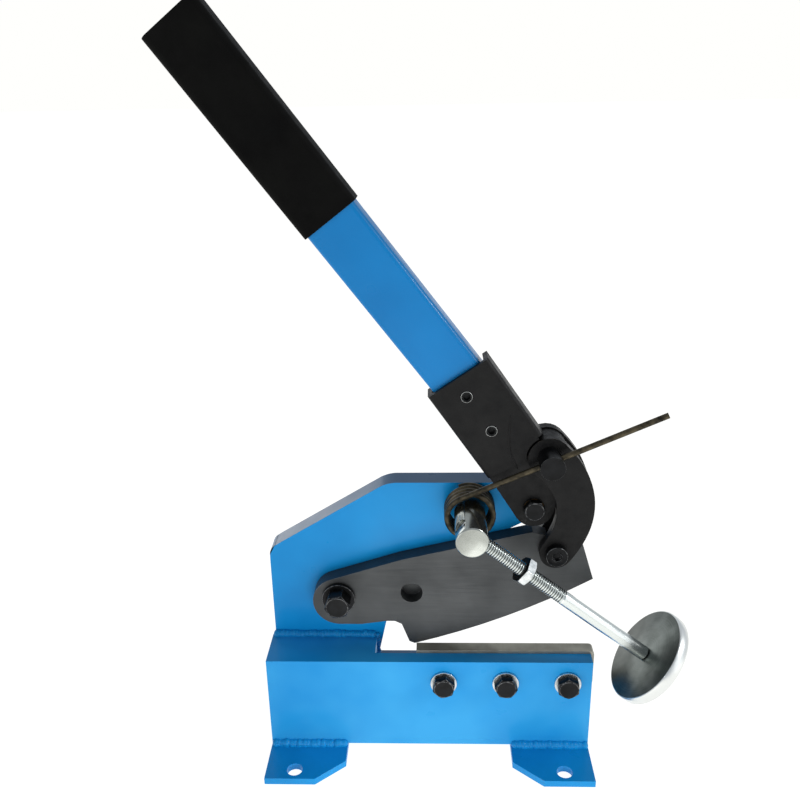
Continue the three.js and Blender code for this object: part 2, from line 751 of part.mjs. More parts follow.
// Links, from the lever's pin to the blade's
const pinPlace = new THREE.Vector3(pinOut, 0, pinUp)
  .applyAxisAngle(new THREE.Vector3(0, 1, 0), leverParts.rotation.y).add(lever.position);
const footPlace = new THREE.Vector3(pivotX + linkFootReach, 0, pivotZ + linkFootRise);
const linkLine = footPlace.clone().sub(pinPlace);
const linkLength = linkLine.length();
const links = new THREE.Group();
links.position.copy(pinPlace);
links.rotation.y = Math.atan2(-linkLine.x, -linkLine.z);
part.add(links);
place('front_link', plate(linkShape(linkLength), frontLinkBack, linkThick), blackSteel, links);
place('rear_link', plate(linkShape(linkLength), rearLinkBack, linkThick), blackSteel, links);
place('link_screw', linkScrew(), blackSteel, links).position.set(0, 0, -linkLength);
place('link_nut', hexNut(
  m8Across, m8Radius + runGap, rearLinkBack + seatGap, rearLinkBack + seatGap + m8Nut,
), zinc, links).position.set(0, 0, -linkLength);

// Spring and the pin it works on
const course = springCourse(pinPlace.x, pinPlace.z);
place('torsion_spring', wireTube(course.points, wireRadius, wireSides), springSteel);
place('spring_pin', springPin(course.legAngle, course.slope), blackSteel).position.copy(pinPlace);
place('spring_pin_clip', ringAlongY(
  clipRadius, springPinShank + runGap, rearLinkBack + seatGap, rearLinkBack + seatGap + clipThick,
), zinc).position.copy(pinPlace);
console.log(`torsion spring: least gap to itself ${leastGap(course.points).toFixed(2)} mm`);
console.log(`link pin at ${pinPlace.x.toFixed(3)}, ${pinPlace.z.toFixed(3)}`);

// Hold-down
const holdDown = new THREE.Group();
holdDown.position.set(postX, 0, postZ);
part.add(holdDown);
place('hold_down_post', holdDownPost(), groundSteel, holdDown);
place('hold_down_nut', hexNut(
  postNutAcross, postStud + runGap, rearNutFace, rearNutFace + postNutHeight,
), zinc, holdDown);
const rod = new THREE.Group();
rod.position.set(0, rodPlane, 0);
rod.rotation.y = rodTurn;
holdDown.add(rod);
place('hold_down_rod', rodLikeBar(rodRadius, -rodTail, rodReach), zinc, rod);
place('jam_nut', cut(
  rodLikeBar(jamNutAcross / Math.sqrt(3), jamNutPlace, jamNutPlace + jamNutHeight, 6),
  rodLikeBar(rodRadius + runGap, jamNutPlace - overrun, jamNutPlace + jamNutHeight + overrun),
), zinc, rod);
place('pressure_pad', pressurePad(), zinc, rod);

export default part;
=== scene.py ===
# A hand bench shear, dressed for a soft studio picture. Metres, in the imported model's frame.
import json
import math
from functools import partial

import bmesh
import bpy
from mathutils import Matrix, Vector

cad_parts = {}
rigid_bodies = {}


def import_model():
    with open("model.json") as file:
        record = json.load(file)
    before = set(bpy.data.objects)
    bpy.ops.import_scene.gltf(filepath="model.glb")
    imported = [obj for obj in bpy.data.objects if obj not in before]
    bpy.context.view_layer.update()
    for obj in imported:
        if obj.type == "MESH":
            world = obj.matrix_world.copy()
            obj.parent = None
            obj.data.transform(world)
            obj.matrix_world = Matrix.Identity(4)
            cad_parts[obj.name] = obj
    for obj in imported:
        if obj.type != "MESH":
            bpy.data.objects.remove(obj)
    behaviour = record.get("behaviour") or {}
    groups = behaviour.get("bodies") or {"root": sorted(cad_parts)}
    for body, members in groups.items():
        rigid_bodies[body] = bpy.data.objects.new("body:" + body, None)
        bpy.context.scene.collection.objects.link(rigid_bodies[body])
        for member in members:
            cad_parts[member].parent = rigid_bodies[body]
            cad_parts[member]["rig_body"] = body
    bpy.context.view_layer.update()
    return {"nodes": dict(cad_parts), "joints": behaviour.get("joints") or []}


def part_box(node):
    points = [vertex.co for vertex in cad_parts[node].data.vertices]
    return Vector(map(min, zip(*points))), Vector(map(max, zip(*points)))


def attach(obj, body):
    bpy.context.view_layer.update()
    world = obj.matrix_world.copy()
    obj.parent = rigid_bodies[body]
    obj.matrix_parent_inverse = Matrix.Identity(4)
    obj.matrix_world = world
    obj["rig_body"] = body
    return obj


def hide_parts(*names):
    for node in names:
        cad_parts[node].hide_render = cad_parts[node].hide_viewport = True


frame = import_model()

mm = 0.001
overlap = 0.5  # millimetres that a shank runs into its head and its tip
coneSlope = math.tan(math.radians(30))  # how hexagon corners are turned off
roundSides = 72  # points round a turned or hexagon piece
mathNode = "ShaderNodeMath"
print("frame loaded:", len(frame["nodes"]), "nodes")


# Small helpers

def toLinear(hexColour):
    # sRGB hex, as a paint chart gives it, to Blender's linear colour
    parts = [int(hexColour[i:i + 2], 16) / 255 for i in (0, 2, 4)]
    linear = [c / 12.92 if c <= 0.04045 else ((c + 0.055) / 1.055) ** 2.4 for c in parts]
    return (*linear, 1)


def fill(node, *values, **named):
    # Fills a node's sockets: values in order, and named ones by their name, with _ for a space
    filled = list(zip([socket for socket in node.inputs if socket.enabled], values))
    filled += [(node.inputs[key.replace("_", " ")], value) for key, value in named.items()]
    for socket, value in filled:
        if isinstance(value, bpy.types.NodeSocket):
            node.id_data.links.new(value, socket)
        else:
            socket.default_value = value


def addNode(tree, kind, *values, out=None, **named):
    # Adds a node and gives one of its outputs back: the one named, or the first that is in use.
    # A name with a capital is a socket's, and any other is a setting of the node itself.
    node = tree.nodes.new(kind)
    for key in [key for key in named if key[0].islower()]:
        setattr(node, key, named.pop(key))
    fill(node, *values, **named)
    inUse = [socket for socket in node.outputs if socket.enabled]
    return node.outputs[out] if out else next(iter(inUse), None)


def bodyOf(nodeName):
    return frame["nodes"][nodeName]["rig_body"]


def boxOf(nodeName):
    # A node's lowest and highest corner and its middle, at rest
    low, high = [Vector(corner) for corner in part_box(nodeName)]
    return low, high, (low + high) / 2


def jointNamed(name):
    return next(joint for joint in frame["joints"] if joint["name"] == name)


def alongY(x, y, z, turn=0):
    # Places a piece drawn along Z, foot at zero: its foot at the given place, its top to the front
    return (Matrix.Translation((x, y, z)) @ Matrix.Rotation(math.radians(turn), 4, "Y")
            @ Matrix.Rotation(math.radians(90), 4, "X"))


def newPiece(name, mesh, material, body, nodes):
    # Links a finished mesh as a piece of the object that stands for CAD nodes
    piece = bpy.data.objects.new(name, mesh)
    bpy.context.scene.collection.objects.link(piece)
    mesh.materials.clear()
    mesh.materials.append(material)
    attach(piece, body)
    if nodes:
        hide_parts(*nodes)


def holdMesh(mesh):
    holder = bpy.data.objects.new("holder", mesh)
    bpy.context.scene.collection.objects.link(holder)
    return holder


def flatten(obj, name):
    # The object with its modifiers applied, as a plain mesh
    bpy.context.view_layer.update()
    evaluated = obj.evaluated_get(bpy.context.evaluated_depsgraph_get())
    mesh = bpy.data.meshes.new_from_object(evaluated)
    mesh.name = name
    bpy.data.objects.remove(obj)
    return mesh


def shadeByAngle(mesh, degrees):
    mesh.shade_smooth()
    mesh.set_sharp_from_angle(angle=math.radians(degrees))


def openMesh(mesh):
    work = bmesh.new()
    work.from_mesh(mesh)
    return work


def closeMesh(work, mesh):
    work.to_mesh(mesh)
    work.free()
    return mesh


def makeWhole(work):
    # Merges loose triangles and makes flat faces whole
    bmesh.ops.remove_doubles(work, verts=work.verts, dist=1e-6)
    bmesh.ops.dissolve_limit(work, angle_limit=math.radians(0.5), verts=work.verts, edges=work.edges)


def cleanCopy(nodeName):
    # A CAD node's own mesh is left alone; pieces start from this copy
    work = openMesh(frame["nodes"][nodeName].data)
    makeWhole(work)
    return closeMesh(work, bpy.data.meshes.new(nodeName + "Clean"))


def roundEdges(mesh, radius, segments, chosen):
    # Rounds only the edges for which chosen(start, end) holds
    work = openMesh(mesh)
    edges = [edge for edge in work.edges if chosen(edge.verts[0].co, edge.verts[1].co)]
    bmesh.ops.bevel(work, geom=edges, offset=radius * mm, segments=segments, profile=0.5, affect="EDGES")
    return closeMesh(work, mesh)


def breakEdges(mesh, name, edge, segments, sharp=32):
    # Rounds the sharp edges; the attribute "broken" is 1 on them, for wear and painted edge highlights in the
    # materials
    mesh.materials.clear()
    mesh.materials.append(None)
    mesh.materials.append(None)
    holder = holdMesh(mesh)
    shadeByAngle(mesh, sharp)
    bevel = holder.modifiers.new("brokenEdges", "BEVEL")
    bevel.width = edge * mm
    bevel.segments = segments
    bevel.limit_method = "ANGLE"
    bevel.angle_limit = math.radians(sharp)
    bevel.harden_normals = True
    bevel.miter_outer = "MITER_ARC"
    bevel.material = 1
    finished = flatten(holder, name)
    broken = finished.attributes.new("broken", "FLOAT", "FACE")
    for i, face in enumerate(finished.polygons):
        broken.data[i].value = face.material_index
        face.material_index = 0
    return finished


def softened(nodeName, edge, segments, material, shape=None):
    # A CAD node with its edges broken, as filing, rolling or paint leaves them
    finished = breakEdges(shape or cleanCopy(nodeName), nodeName + "Dressed", edge, segments)
    newPiece(nodeName + "Dressed", finished, material, bodyOf(nodeName), [nodeName])


def skinRings(name, rings, bored=False):
    # Faces between rings of points; the ends are capped, or meet where the piece has a bore
    work = bmesh.new()
    loops = [[work.verts.new(point) for point in ring] for ring in rings]
    pairs = list(zip(loops, loops[1:] + loops[:1])) if bored else list(zip(loops, loops[1:]))
    for near, far in pairs:
        for i in range(len(near)):
            j = (i + 1) % len(near)
            work.faces.new((near[i], near[j], far[j], far[i]))
    if not bored:
        work.faces.new(loops[0])
        work.faces.new(loops[-1])
    bmesh.ops.recalc_face_normals(work, faces=work.faces)
    return closeMesh(work, bpy.data.meshes.new(name))


def circleRing(radius, height, sides=roundSides):
    angles = [2 * math.pi * i / sides for i in range(sides)]
    return [Vector((radius * math.cos(a), radius * math.sin(a), height)) for a in angles]


def turned(name, profile, sides=roundSides, bored=False):
    # A lathe-turned piece along Z; profile is (radius, height) in millimetres
    return skinRings(name, [circleRing(r * mm, z * mm, sides) for r, z in profile], bored)


def hexRadius(across, angle):
    sixth = math.pi / 3
    return across / 2 / math.cos((angle + sixth / 2) % sixth - sixth / 2)


def hexRing(across, top, rim):
    # The outline of a hexagon bar whose end is turned to a cone outside the rim radius
    ring = []
    for i in range(roundSides):
        angle = 2 * math.pi * i / roundSides
        radius = hexRadius(across, angle)
        height = top - max(0, radius - rim) * coneSlope
        ring.append(Vector((radius * math.cos(angle), radius * math.sin(angle), height)))
    return ring


def joined(name, *meshes):
    # Several meshes as one
    work = bmesh.new()
    for mesh in meshes:
        work.from_mesh(mesh)
    return closeMesh(work, bpy.data.meshes.new(name))


def moved(mesh, place):
    mesh.transform(place)
    return mesh


def combined(mesh, other, how, name):
    # Joins the other mesh on, or cuts it out
    holder, tool = holdMesh(mesh), holdMesh(other)
    change = holder.modifiers.new("combined", "BOOLEAN")
    change.operation = how
    change.solver = "EXACT"
    change.object = tool
    result = flatten(holder, name)
    bpy.data.objects.remove(tool)
    work = openMesh(result)
    makeWhole(work)
    return closeMesh(work, result)


# Geometry Nodes helpers

def startTree(name, sizes):
    # A tree with named inputs; sizes gives each one's kind and first value
    tree = bpy.data.node_groups.new(name, "GeometryNodeTree")
    tree.interface.new_socket("Geometry", in_out="INPUT", socket_type="NodeSocketGeometry")
    for label, (kind, value) in sizes.items():
        socket = tree.interface.new_socket(label, in_out="INPUT", socket_type="NodeSocket" + kind)
        if value is not None:
            socket.default_value = value
    tree.interface.new_socket("Material", in_out="INPUT", socket_type="NodeSocketMaterial")
    tree.interface.new_socket("Geometry", in_out="OUTPUT", socket_type="NodeSocketGeometry")
    return tree, partial(addNode, tree), tree.nodes.new("NodeGroupInput").outputs


def endTree(add, given, geometry):
    solid = add("GeometryNodeRealizeInstances", geometry)
    dressed = add("GeometryNodeSetMaterial", Geometry=solid, Material=given["Material"])
    add("NodeGroupOutput", Geometry=dressed)


def growMesh(name, tree, values):
    # Runs a tree with these values and keeps the result as a plain mesh
    holder = holdMesh(bpy.data.meshes.new("empty"))
    modifier = holder.modifiers.new("grown", "NODES")
    modifier.node_group = tree
    for item in tree.interface.items_tree:
        if item.in_out == "INPUT" and item.name in values:
            modifier[item.identifier] = values[item.name]
    return flatten(holder, name)


def rowTree():
    # Copies of one piece along a straight row, each turned a little further than the last
    tree, add, given = startTree("repeatedRow", {
        "Piece": ("Object", None), "Count": ("Int", 3), "Start": ("Vector", (0, 0, 0)),
        "Step": ("Vector", (0.01, 0, 0)), "Turn": ("Float", 0.0)})
    line = add("GeometryNodeMeshLine", mode="OFFSET", Count=given["Count"],
               Start_Location=given["Start"], Offset=given["Step"])
    shape = add("GeometryNodeObjectInfo", out="Geometry", Object=given["Piece"])
    index = add("GeometryNodeInputIndex")
    angle = add(mathNode, index, given["Turn"], operation="MULTIPLY")
    turn = add("ShaderNodeCombineXYZ", Y=angle)
    copies = add("GeometryNodeInstanceOnPoints", Points=line, Instance=shape, Rotation=turn)
    endTree(add, given, copies)
    return tree


def threadTree():
    # A round bar along Z from zero, with a rolled thread between two heights and chamfered tips
    tree, add, given = startTree("rolledThread", {
        "Length": ("Float", 0.05), "Radius": ("Float", 0.005), "Thread Start": ("Float", 0.0),
        "Thread End": ("Float", 0.05), "Pitch": ("Float", 0.0015), "Depth": ("Float", 0.0008),
        "Tip": ("Float", 0.0008), "Sides": ("Int", 32), "Rings": ("Int", 100)})
    bar = add("GeometryNodeMeshCylinder", fill_type="NGON", Vertices=given["Sides"],
              Side_Segments=given["Rings"], Radius=given["Radius"], Depth=given["Length"])
    place = add("GeometryNodeInputPosition")
    parts = add("ShaderNodeSeparateXYZ", place).node.outputs
    height = add(mathNode, given["Length"], 0.5, parts["Z"], operation="MULTIPLY_ADD")
    # The groove winds round: its depth follows a wave of height and angle
    angle = add(mathNode, parts["Y"], parts["X"], operation="ARCTAN2")
    turns = add(mathNode, height, given["Pitch"], operation="DIVIDE")
    wound = add(mathNode, turns, math.tau, operation="MULTIPLY")
    phase = add(mathNode, wound, angle, operation="SUBTRACT")
    wave = add(mathNode, phase, operation="COSINE")
    groove = add(mathNode, wave, 0.5, 0.5, operation="MULTIPLY_ADD")
    # It fades in and out over one pitch at each end of the thread
    pastStart = add(mathNode, height, given["Thread Start"], operation="SUBTRACT")
    into = add(mathNode, pastStart, given["Pitch"], operation="DIVIDE")
    beforeEnd = add(mathNode, given["Thread End"], height, operation="SUBTRACT")
    outOf = add(mathNode, beforeEnd, given["Pitch"], operation="DIVIDE")
    nearest = add(mathNode, into, outOf, operation="MINIMUM")
    inside = add("ShaderNodeClamp", nearest)
    cutShare = add(mathNode, groove, inside, operation="MULTIPLY")
    cutDepth = add(mathNode, cutShare, given["Depth"], operation="MULTIPLY")
    # The chamfer takes more off the closer a point is to either tip
    fromTop = add(mathNode, given["Length"], height, operation="SUBTRACT")
    fromTip = add(mathNode, height, fromTop, operation="MINIMUM")
    inTip = add(mathNode, given["Tip"], fromTip, operation="SUBTRACT")
    chamfer = add(mathNode, inTip, 0.0, operation="MAXIMUM")
    afterCut = add(mathNode, given["Radius"], cutDepth, operation="SUBTRACT")
    radius = add(mathNode, afterCut, chamfer, operation="SUBTRACT")
    shrink = add(mathNode, radius, given["Radius"], operation="DIVIDE")
    x = add(mathNode, parts["X"], shrink, operation="MULTIPLY")
    y = add(mathNode, parts["Y"], shrink, operation="MULTIPLY")
    position = add("ShaderNodeCombineXYZ", x, y, height)
    endTree(add, given, add("GeometryNodeSetPosition", Geometry=bar, Position=position))
    return tree


def springTree():
    # Wire wound round Z from zero up, then straight on as a leg that leaves along +X
    tree, add, given = startTree("woundSpring", {
        "Coil Radius": ("Float", 0.015), "Wire Radius": ("Float", 0.002), "Curls": ("Float", 4.0),
        "Pitch": ("Float", 0.0045), "Leg": ("Float", 0.14), "Leg Rise": ("Float", 0.0),
        "Points": ("Int", 600), "Sides": ("Int", 16)})
    line = add("GeometryNodeCurvePrimitiveLine")
    fine = add("GeometryNodeResampleCurve", Curve=line, Count=given["Points"])
    share = add("GeometryNodeSplineParameter", out="Factor")
    # How far along the wire a point is, split into coil and leg
    turning = add(mathNode, given["Curls"], math.tau, operation="MULTIPLY")
    wound = add(mathNode, turning, given["Coil Radius"], operation="MULTIPLY")
    whole = add(mathNode, wound, given["Leg"], operation="ADD")
    along = add(mathNode, share, whole, operation="MULTIPLY")
    onCoil = add(mathNode, along, wound, operation="MINIMUM")
    onLeg = add(mathNode, along, onCoil, operation="SUBTRACT")
    coiled = add(mathNode, onCoil, wound, operation="DIVIDE")
    left = add(mathNode, 1.0, coiled, operation="SUBTRACT")
    angle = add(mathNode, left, turning, math.pi / 2, operation="MULTIPLY_ADD")
    cosine = add(mathNode, angle, operation="COSINE")
    sine = add(mathNode, angle, operation="SINE")
    coilHeight = add(mathNode, given["Curls"], given["Pitch"], operation="MULTIPLY")
    climb = add(mathNode, coiled, coilHeight, operation="MULTIPLY")
    x = add(mathNode, cosine, given["Coil Radius"], onLeg, operation="MULTIPLY_ADD")
    y = add(mathNode, sine, given["Coil Radius"], operation="MULTIPLY")
    z = add(mathNode, onLeg, given["Leg Rise"], climb, operation="MULTIPLY_ADD")
    position = add("ShaderNodeCombineXYZ", x, y, z)
    course = add("GeometryNodeSetPosition", Geometry=fine, Position=position)
    section = add("GeometryNodeCurvePrimitiveCircle", Resolution=given["Sides"],
                  Radius=given["Wire Radius"])
    wire = add("GeometryNodeCurveToMesh", Curve=course, Profile_Curve=section, Fill_Caps=True)
    endTree(add, given, wire)
    return tree


def beadTree():
    # A weld bead along X from zero: overlapping ripples of uneven size
    tree, add, given = startTree("weldBead", {
        "Length": ("Float", 0.05), "Radius": ("Float", 0.003), "Pitch": ("Float", 0.002),
        "Uneven": ("Float", 0.15), "Shift": ("Vector", (0.0004, 0.0003, 0.0003)), "Seed": ("Int", 1)})
    fitting = add(mathNode, given["Length"], given["Pitch"], operation="DIVIDE")
    count = add("FunctionNodeFloatToInt", fitting)
    step = add("ShaderNodeCombineXYZ", X=given["Pitch"])
    line = add("GeometryNodeMeshLine", mode="OFFSET", Count=count, Offset=step)
    drop = add("GeometryNodeMeshIcoSphere", Radius=given["Radius"], Subdivisions=3)
    least = add(mathNode, 1.0, given["Uneven"], operation="SUBTRACT")
    size = add("FunctionNodeRandomValue", least, 1.0, data_type="FLOAT", Seed=given["Seed"])
    lowest = add("ShaderNodeVectorMath", given["Shift"], (-1, -1, -1), operation="MULTIPLY")
    shift = add("FunctionNodeRandomValue", lowest, given["Shift"], data_type="FLOAT_VECTOR",
                Seed=given["Seed"])
    uneven = add("GeometryNodeSetPosition", Geometry=line, Offset=shift)
    shorter = add(mathNode, size, 0.75, operation="MULTIPLY")
    scale = add("ShaderNodeCombineXYZ", shorter, size, size)
    ripples = add("GeometryNodeInstanceOnPoints", Points=uneven, Instance=drop, Scale=scale)
    endTree(add, given, ripples)
    return tree


repeatedRow = rowTree()
rolledThread = threadTree()
woundSpring = springTree()
weldBead = beadTree()
print("node trees made")


# Materials

def startMaterial(name, colour, roughness, metallic=0.0):
    material = bpy.data.materials.new(name)
    material.use_nodes = True
    add = partial(addNode, material.node_tree)
    shader = material.node_tree.nodes["Principled BSDF"]
    fill(shader, Base_Color=toLinear(colour), Roughness=roughness, Metallic=metallic)
    place = add("ShaderNodeTexCoord", out="Object")
    return material, add, shader, place


def perMillimetre(size):
    # Pattern scale whose grains are about size millimetres across
    return 1 / (size * mm)


def softPatches(add, place, grain, low, high, toLow=0, toHigh=1, detail=3):
    # Cloudy patches about grain millimetres across; low to high of the cloud becomes toLow to toHigh
    cloud = add("ShaderNodeTexNoise", Vector=place, Scale=perMillimetre(grain), Detail=detail)
    return add("ShaderNodeMapRange", cloud, low, high, toLow, toHigh)


def twoTone(add, place, grain, dark, light, low=0.35, high=0.65):
    # A colour that drifts between two shades, as the finish does over the piece
    share = softPatches(add, place, grain, low, high)
    return add("ShaderNodeMix", share, toLinear(dark), toLinear(light), data_type="RGBA")


def edgeWearAndHighlight(add, shader, place, body, bareAndLit, grain, low, high):
    # The colour of the finish, with the broken edges turned to a lighter tone in patches: worn edges, and on
    # the blacked bolts partly a painted highlight
    edge = add("ShaderNodeAttribute", out="Fac", attribute_name="broken")
    patches = softPatches(add, place, grain, low, high, detail=4)
    wornAndLit = add(mathNode, edge, patches, operation="MULTIPLY")
    colour = add("ShaderNodeMix", wornAndLit, body, toLinear(bareAndLit), data_type="RGBA")
    fill(shader, Base_Color=colour)


def varyRoughness(add, shader, place, low, high, grain):
    fill(shader, Roughness=softPatches(add, place, grain, 0.3, 0.7, low, high, 4))


def fineGrain(add, shader, place, grain, detail, strength, depth):
    # A fine unevenness of the coat or the metal; grain and depth are in millimetres
    cloud = add("ShaderNodeTexNoise", Vector=place, Scale=perMillimetre(grain), Detail=detail)
    relief = add("ShaderNodeBump", Height=cloud, Strength=strength, Distance=depth * mm)
    fill(shader, Normal=relief)


def toolMarks(add, shader, marks, low, high, strength, depth=0.1):
    # What grinding or turning leaves: lines that change the shine and stand out a little
    shine = add("ShaderNodeMapRange", marks, 0.3, 0.7, low, high)
    relief = add("ShaderNodeBump", Height=marks, Strength=strength, Distance=depth * mm)
    fill(shader, Roughness=shine, Normal=relief)


def blueEnamel(name, dark, light, thinOnCuts=0):
    # Alkyd enamel, sprayed on welded steel: glossy, with a faint orange peel and thin on its edges
    material, add, shader, place = startMaterial(name, "0A88CB", 0.3)
    body = twoTone(add, place, 70, dark, light)
    if thinOnCuts:
        # The plate's sawn top edges show grey steel through the coat
        facing = add("ShaderNodeNewGeometry", out="Normal")
        upward = add("ShaderNodeSeparateXYZ", facing).node.outputs["Z"]
        thin = add("ShaderNodeMapRange", upward, 0.4, 0.7, 0, thinOnCuts)
        body = add("ShaderNodeMix", thin, body, toLinear("77797B"), data_type="RGBA")
    edgeWearAndHighlight(add, shader, place, body, "4F93BF", 9, 0.5, 0.72)
    varyRoughness(add, shader, place, 0.27, 0.4, 25)
    fill(shader, Specular_IOR_Level=0.2, Coat_Weight=0.06, Coat_Roughness=0.1)
    fineGrain(add, shader, place, 2.4, 1, 0.12, 0.3)
    return material


def blackOxide(name, wornAndLit, low, high):
    # Blackened bolt steel with an oil film: dark, satin, its broken edges lighter in patches, partly as
    # rubbed steel and partly as a painted highlight
    material, add, shader, place = startMaterial(name, "101112", 0.4, 0.7)
    body = twoTone(add, place, 7, "0B0C0D", "17181A")
    # Painted highlight, in part: the lighter edges also stand for light caught on the bolt's rims
    edgeWearAndHighlight(add, shader, place, body, wornAndLit, 2, low, high)
    varyRoughness(add, shader, place, 0.3, 0.46, 3)
    fineGrain(add, shader, place, 0.8, 2, 0.12, 0.2)
    return material


def blackPaint():
    # Thin black enamel over flame-cut plate: satin, pitted, rubbed to brown steel on its edges
    material, add, shader, place = startMaterial("blackEnamelOnPlate", "101012", 0.42)
    body = twoTone(add, place, 14, "070708", "131313", 0.3, 0.7)
    edgeWearAndHighlight(add, shader, place, body, "4A4038", 4, 0.52, 0.72)
    varyRoughness(add, shader, place, 0.34, 0.58, 5)
    fine = add("ShaderNodeTexNoise", Vector=place, Scale=perMillimetre(1.3), Detail=3)
    broad = add("ShaderNodeTexNoise", Vector=place, Scale=perMillimetre(9), Detail=2)
    pits = add(mathNode, fine, broad, operation="ADD")
    relief = add("ShaderNodeBump", Height=pits, Strength=0.3, Distance=0.4 * mm)
    fill(shader, Specular_IOR_Level=0.2, Normal=relief)
    return material


def grindingLines(add, place, acrossLines, detail):
    # Lines that run one way: the pattern is stretched along them, per metre in x, y and z
    drawn = add("ShaderNodeMapping", Vector=place, Scale=acrossLines)
    return add("ShaderNodeTexNoise", Vector=drawn, Scale=1.0, Detail=detail)


def bladeSteel():
    # Hardened tool steel, blacked and surface ground: grinding lines run along the blade
    material, add, shader, place = startMaterial("toolSteelBlacked", "46484A", 0.42, 0.6)
    body = twoTone(add, place, 40, "393B3C", "4A4C4D")
    edgeWearAndHighlight(add, shader, place, body, "77777A", 5, 0.4, 0.7)
    toolMarks(add, shader, grindingLines(add, place, (40, 900, 900), 2), 0.38, 0.52, 0.08)
    return material


def groundSteel():
    # Bare ground steel with a warm film of rust oil: fine lines across, dull shine
    material, add, shader, place = startMaterial("toolSteelGround", "A4A296", 0.4, 0.6)
    body = twoTone(add, place, 14, "8E8B80", "A9A699")
    edgeWearAndHighlight(add, shader, place, body, "C4C1B4", 5, 0.35, 0.6)
    toolMarks(add, shader, grindingLines(add, place, (700, 60, 700), 3), 0.34, 0.5, 0.1)
    return material


def roundAxis(add, place, centre, turn):
    # Distance from a piece's own axis, and height along it
    local = add("ShaderNodeMapping", vector_type="TEXTURE", Vector=place, Location=centre,
                Rotation=turn)
    parts = add("ShaderNodeSeparateXYZ", local).node.outputs
    flat = add("ShaderNodeCombineXYZ", parts["X"], parts["Y"])
    radius = add("ShaderNodeVectorMath", flat, operation="LENGTH")
    return radius, parts["Z"]


def latheRings(add, place, centre, turn, spacing):
    # Distance from a turning axis as fine rings; spacing is drawn coarse enough to show
    radius, height = roundAxis(add, place, centre, turn)
    rings = add("ShaderNodeTexNoise", noise_dimensions="1D", W=radius,
                Scale=perMillimetre(spacing), Detail=2)
    return rings, height


def polishedPost(centre):
    # Free-cutting steel turned bright: mirror-like along its side, fine rings on its end
    material, add, shader, place = startMaterial("barSteelTurned", "B9BCB6", 0.22, 1.0)
    fill(shader, Base_Color=twoTone(add, place, 6, "9A9D97", "B5B8B2", 0, 1))
    rings, _ = latheRings(add, place, centre, (math.radians(90), 0, 0), 0.7)
    toolMarks(add, shader, rings, 0.17, 0.3, 0.15, 0.08)
    return material


def turnedPad(centre, turn, thick):
    # Mild steel disc: its faces turned and oiled dark, its rim painted near white as a highlight
    material, add, shader, place = startMaterial("padSteelTurned", "5D615E", 0.34, 1.0)
    rings, height = latheRings(add, place, centre, turn, 0.8)
    oily = twoTone(add, place, 12, "434845", "5C615E")
    ringShare = add("ShaderNodeMapRange", rings, 0.35, 0.65, 0, 0.15)
    faces = add("ShaderNodeMix", ringShare, oily, toLinear("7C807D"), data_type="RGBA")
    half = thick * mm / 2
    offMiddle = add(mathNode, height, operation="ABSOLUTE")
    onFace = add("ShaderNodeMapRange", offMiddle, half * 0.93, half * 0.97, 0, 1)
    # Painted highlight: the rim, outside the two faces, is near white
    colour = add("ShaderNodeMix", onFace, toLinear("E6E8E6"), faces, data_type="RGBA")
    fill(shader, Base_Color=colour, Anisotropic=0.3)
    toolMarks(add, shader, rings, 0.28, 0.38, 0.1, 0.08)
    return material


def threadedZinc(centre, turn, radius, pitch):
    # Zinc on a threaded rod: bright, with painted shade in the roots of the thread
    material, add, shader, place = startMaterial("zincOnRod", "E2E6E5", 0.22, 1.0)
    reach, _ = roundAxis(add, place, centre, turn)
    root, land = (radius - 0.5 * pitch) * mm, (radius - 0.2 * pitch) * mm
    # Painted shade: the roots of the thread go dark, the crests stay bright
    crest = add("ShaderNodeMapRange", reach, root, land, 0, 1)
    colour = add("ShaderNodeMix", crest, toLinear("6A6C6A"), toLinear("E2E7E4"), data_type="RGBA")
    fill(shader, Base_Color=colour)
    varyRoughness(add, shader, place, 0.2, 0.25, 6)
    return material


def shadedEndNutZinc(start, turn):
    # Zinc on the jam nut: bright flats, its end towards the post painted black as shade
    material, add, shader, place = startMaterial("zincOnJamNut", "D5DADA", 0.28, 1.0)
    _, height = roundAxis(add, place, start, turn)
    # Painted shade: the first half millimetre from the end towards the post goes near black
    pastShadedEnd = add("ShaderNodeMapRange", height, 0.5 * mm, 0.8 * mm, 0, 1)
    bloom = twoTone(add, place, 4, "BCC1C2", "DEE1E1")
    colour = add("ShaderNodeMix", pastShadedEnd, toLinear("0C0D0D"), bloom, data_type="RGBA")
    fill(shader, Base_Color=colour)
    varyRoughness(add, shader, place, 0.24, 0.36, 3)
    return material


def zincPlate():
    # Bright zinc plating: silver with a cloudy bloom
    material, add, shader, place = startMaterial("zincBrightPlated", "BCC1C2", 0.28, 1.0)
    fill(shader, Base_Color=twoTone(add, place, 4, "BCC1C2", "DEE1E1"))
    varyRoughness(add, shader, place, 0.2, 0.36, 3)
    fineGrain(add, shader, place, 1.0, 2, 0.05, 0.1)
    return material


def bearingBronze():
    # Sintered bronze dark with old oil, fine-pored
    material, add, shader, place = startMaterial("bronzeSintered", "54432C", 0.4, 1.0)
    fill(shader, Base_Color=twoTone(add, place, 2, "493A26", "624E33", 0, 1))
    fineGrain(add, shader, place, 0.5, 2, 0.1, 0.1)
    return material


def dippedVinyl():
    # Dip-moulded PVC sleeve: black, nearly matt, with a fine leathery grain and rubbed edges
    material, add, shader, place = startMaterial("vinylDipped", "0B0B0B", 0.55)
    body = twoTone(add, place, 25, "050505", "0C0C0B", 0.3, 0.7)
    edgeWearAndHighlight(add, shader, place, body, "232322", 6, 0.4, 0.7)
    varyRoughness(add, shader, place, 0.55, 0.7, 6)
    cells = add("ShaderNodeTexVoronoi", out="Distance", Vector=place, Scale=perMillimetre(1.1))
    relief = add("ShaderNodeBump", Height=cells, Strength=0.1, Distance=0.12 * mm)
    fill(shader, Specular_IOR_Level=0.06, Normal=relief)
    return material


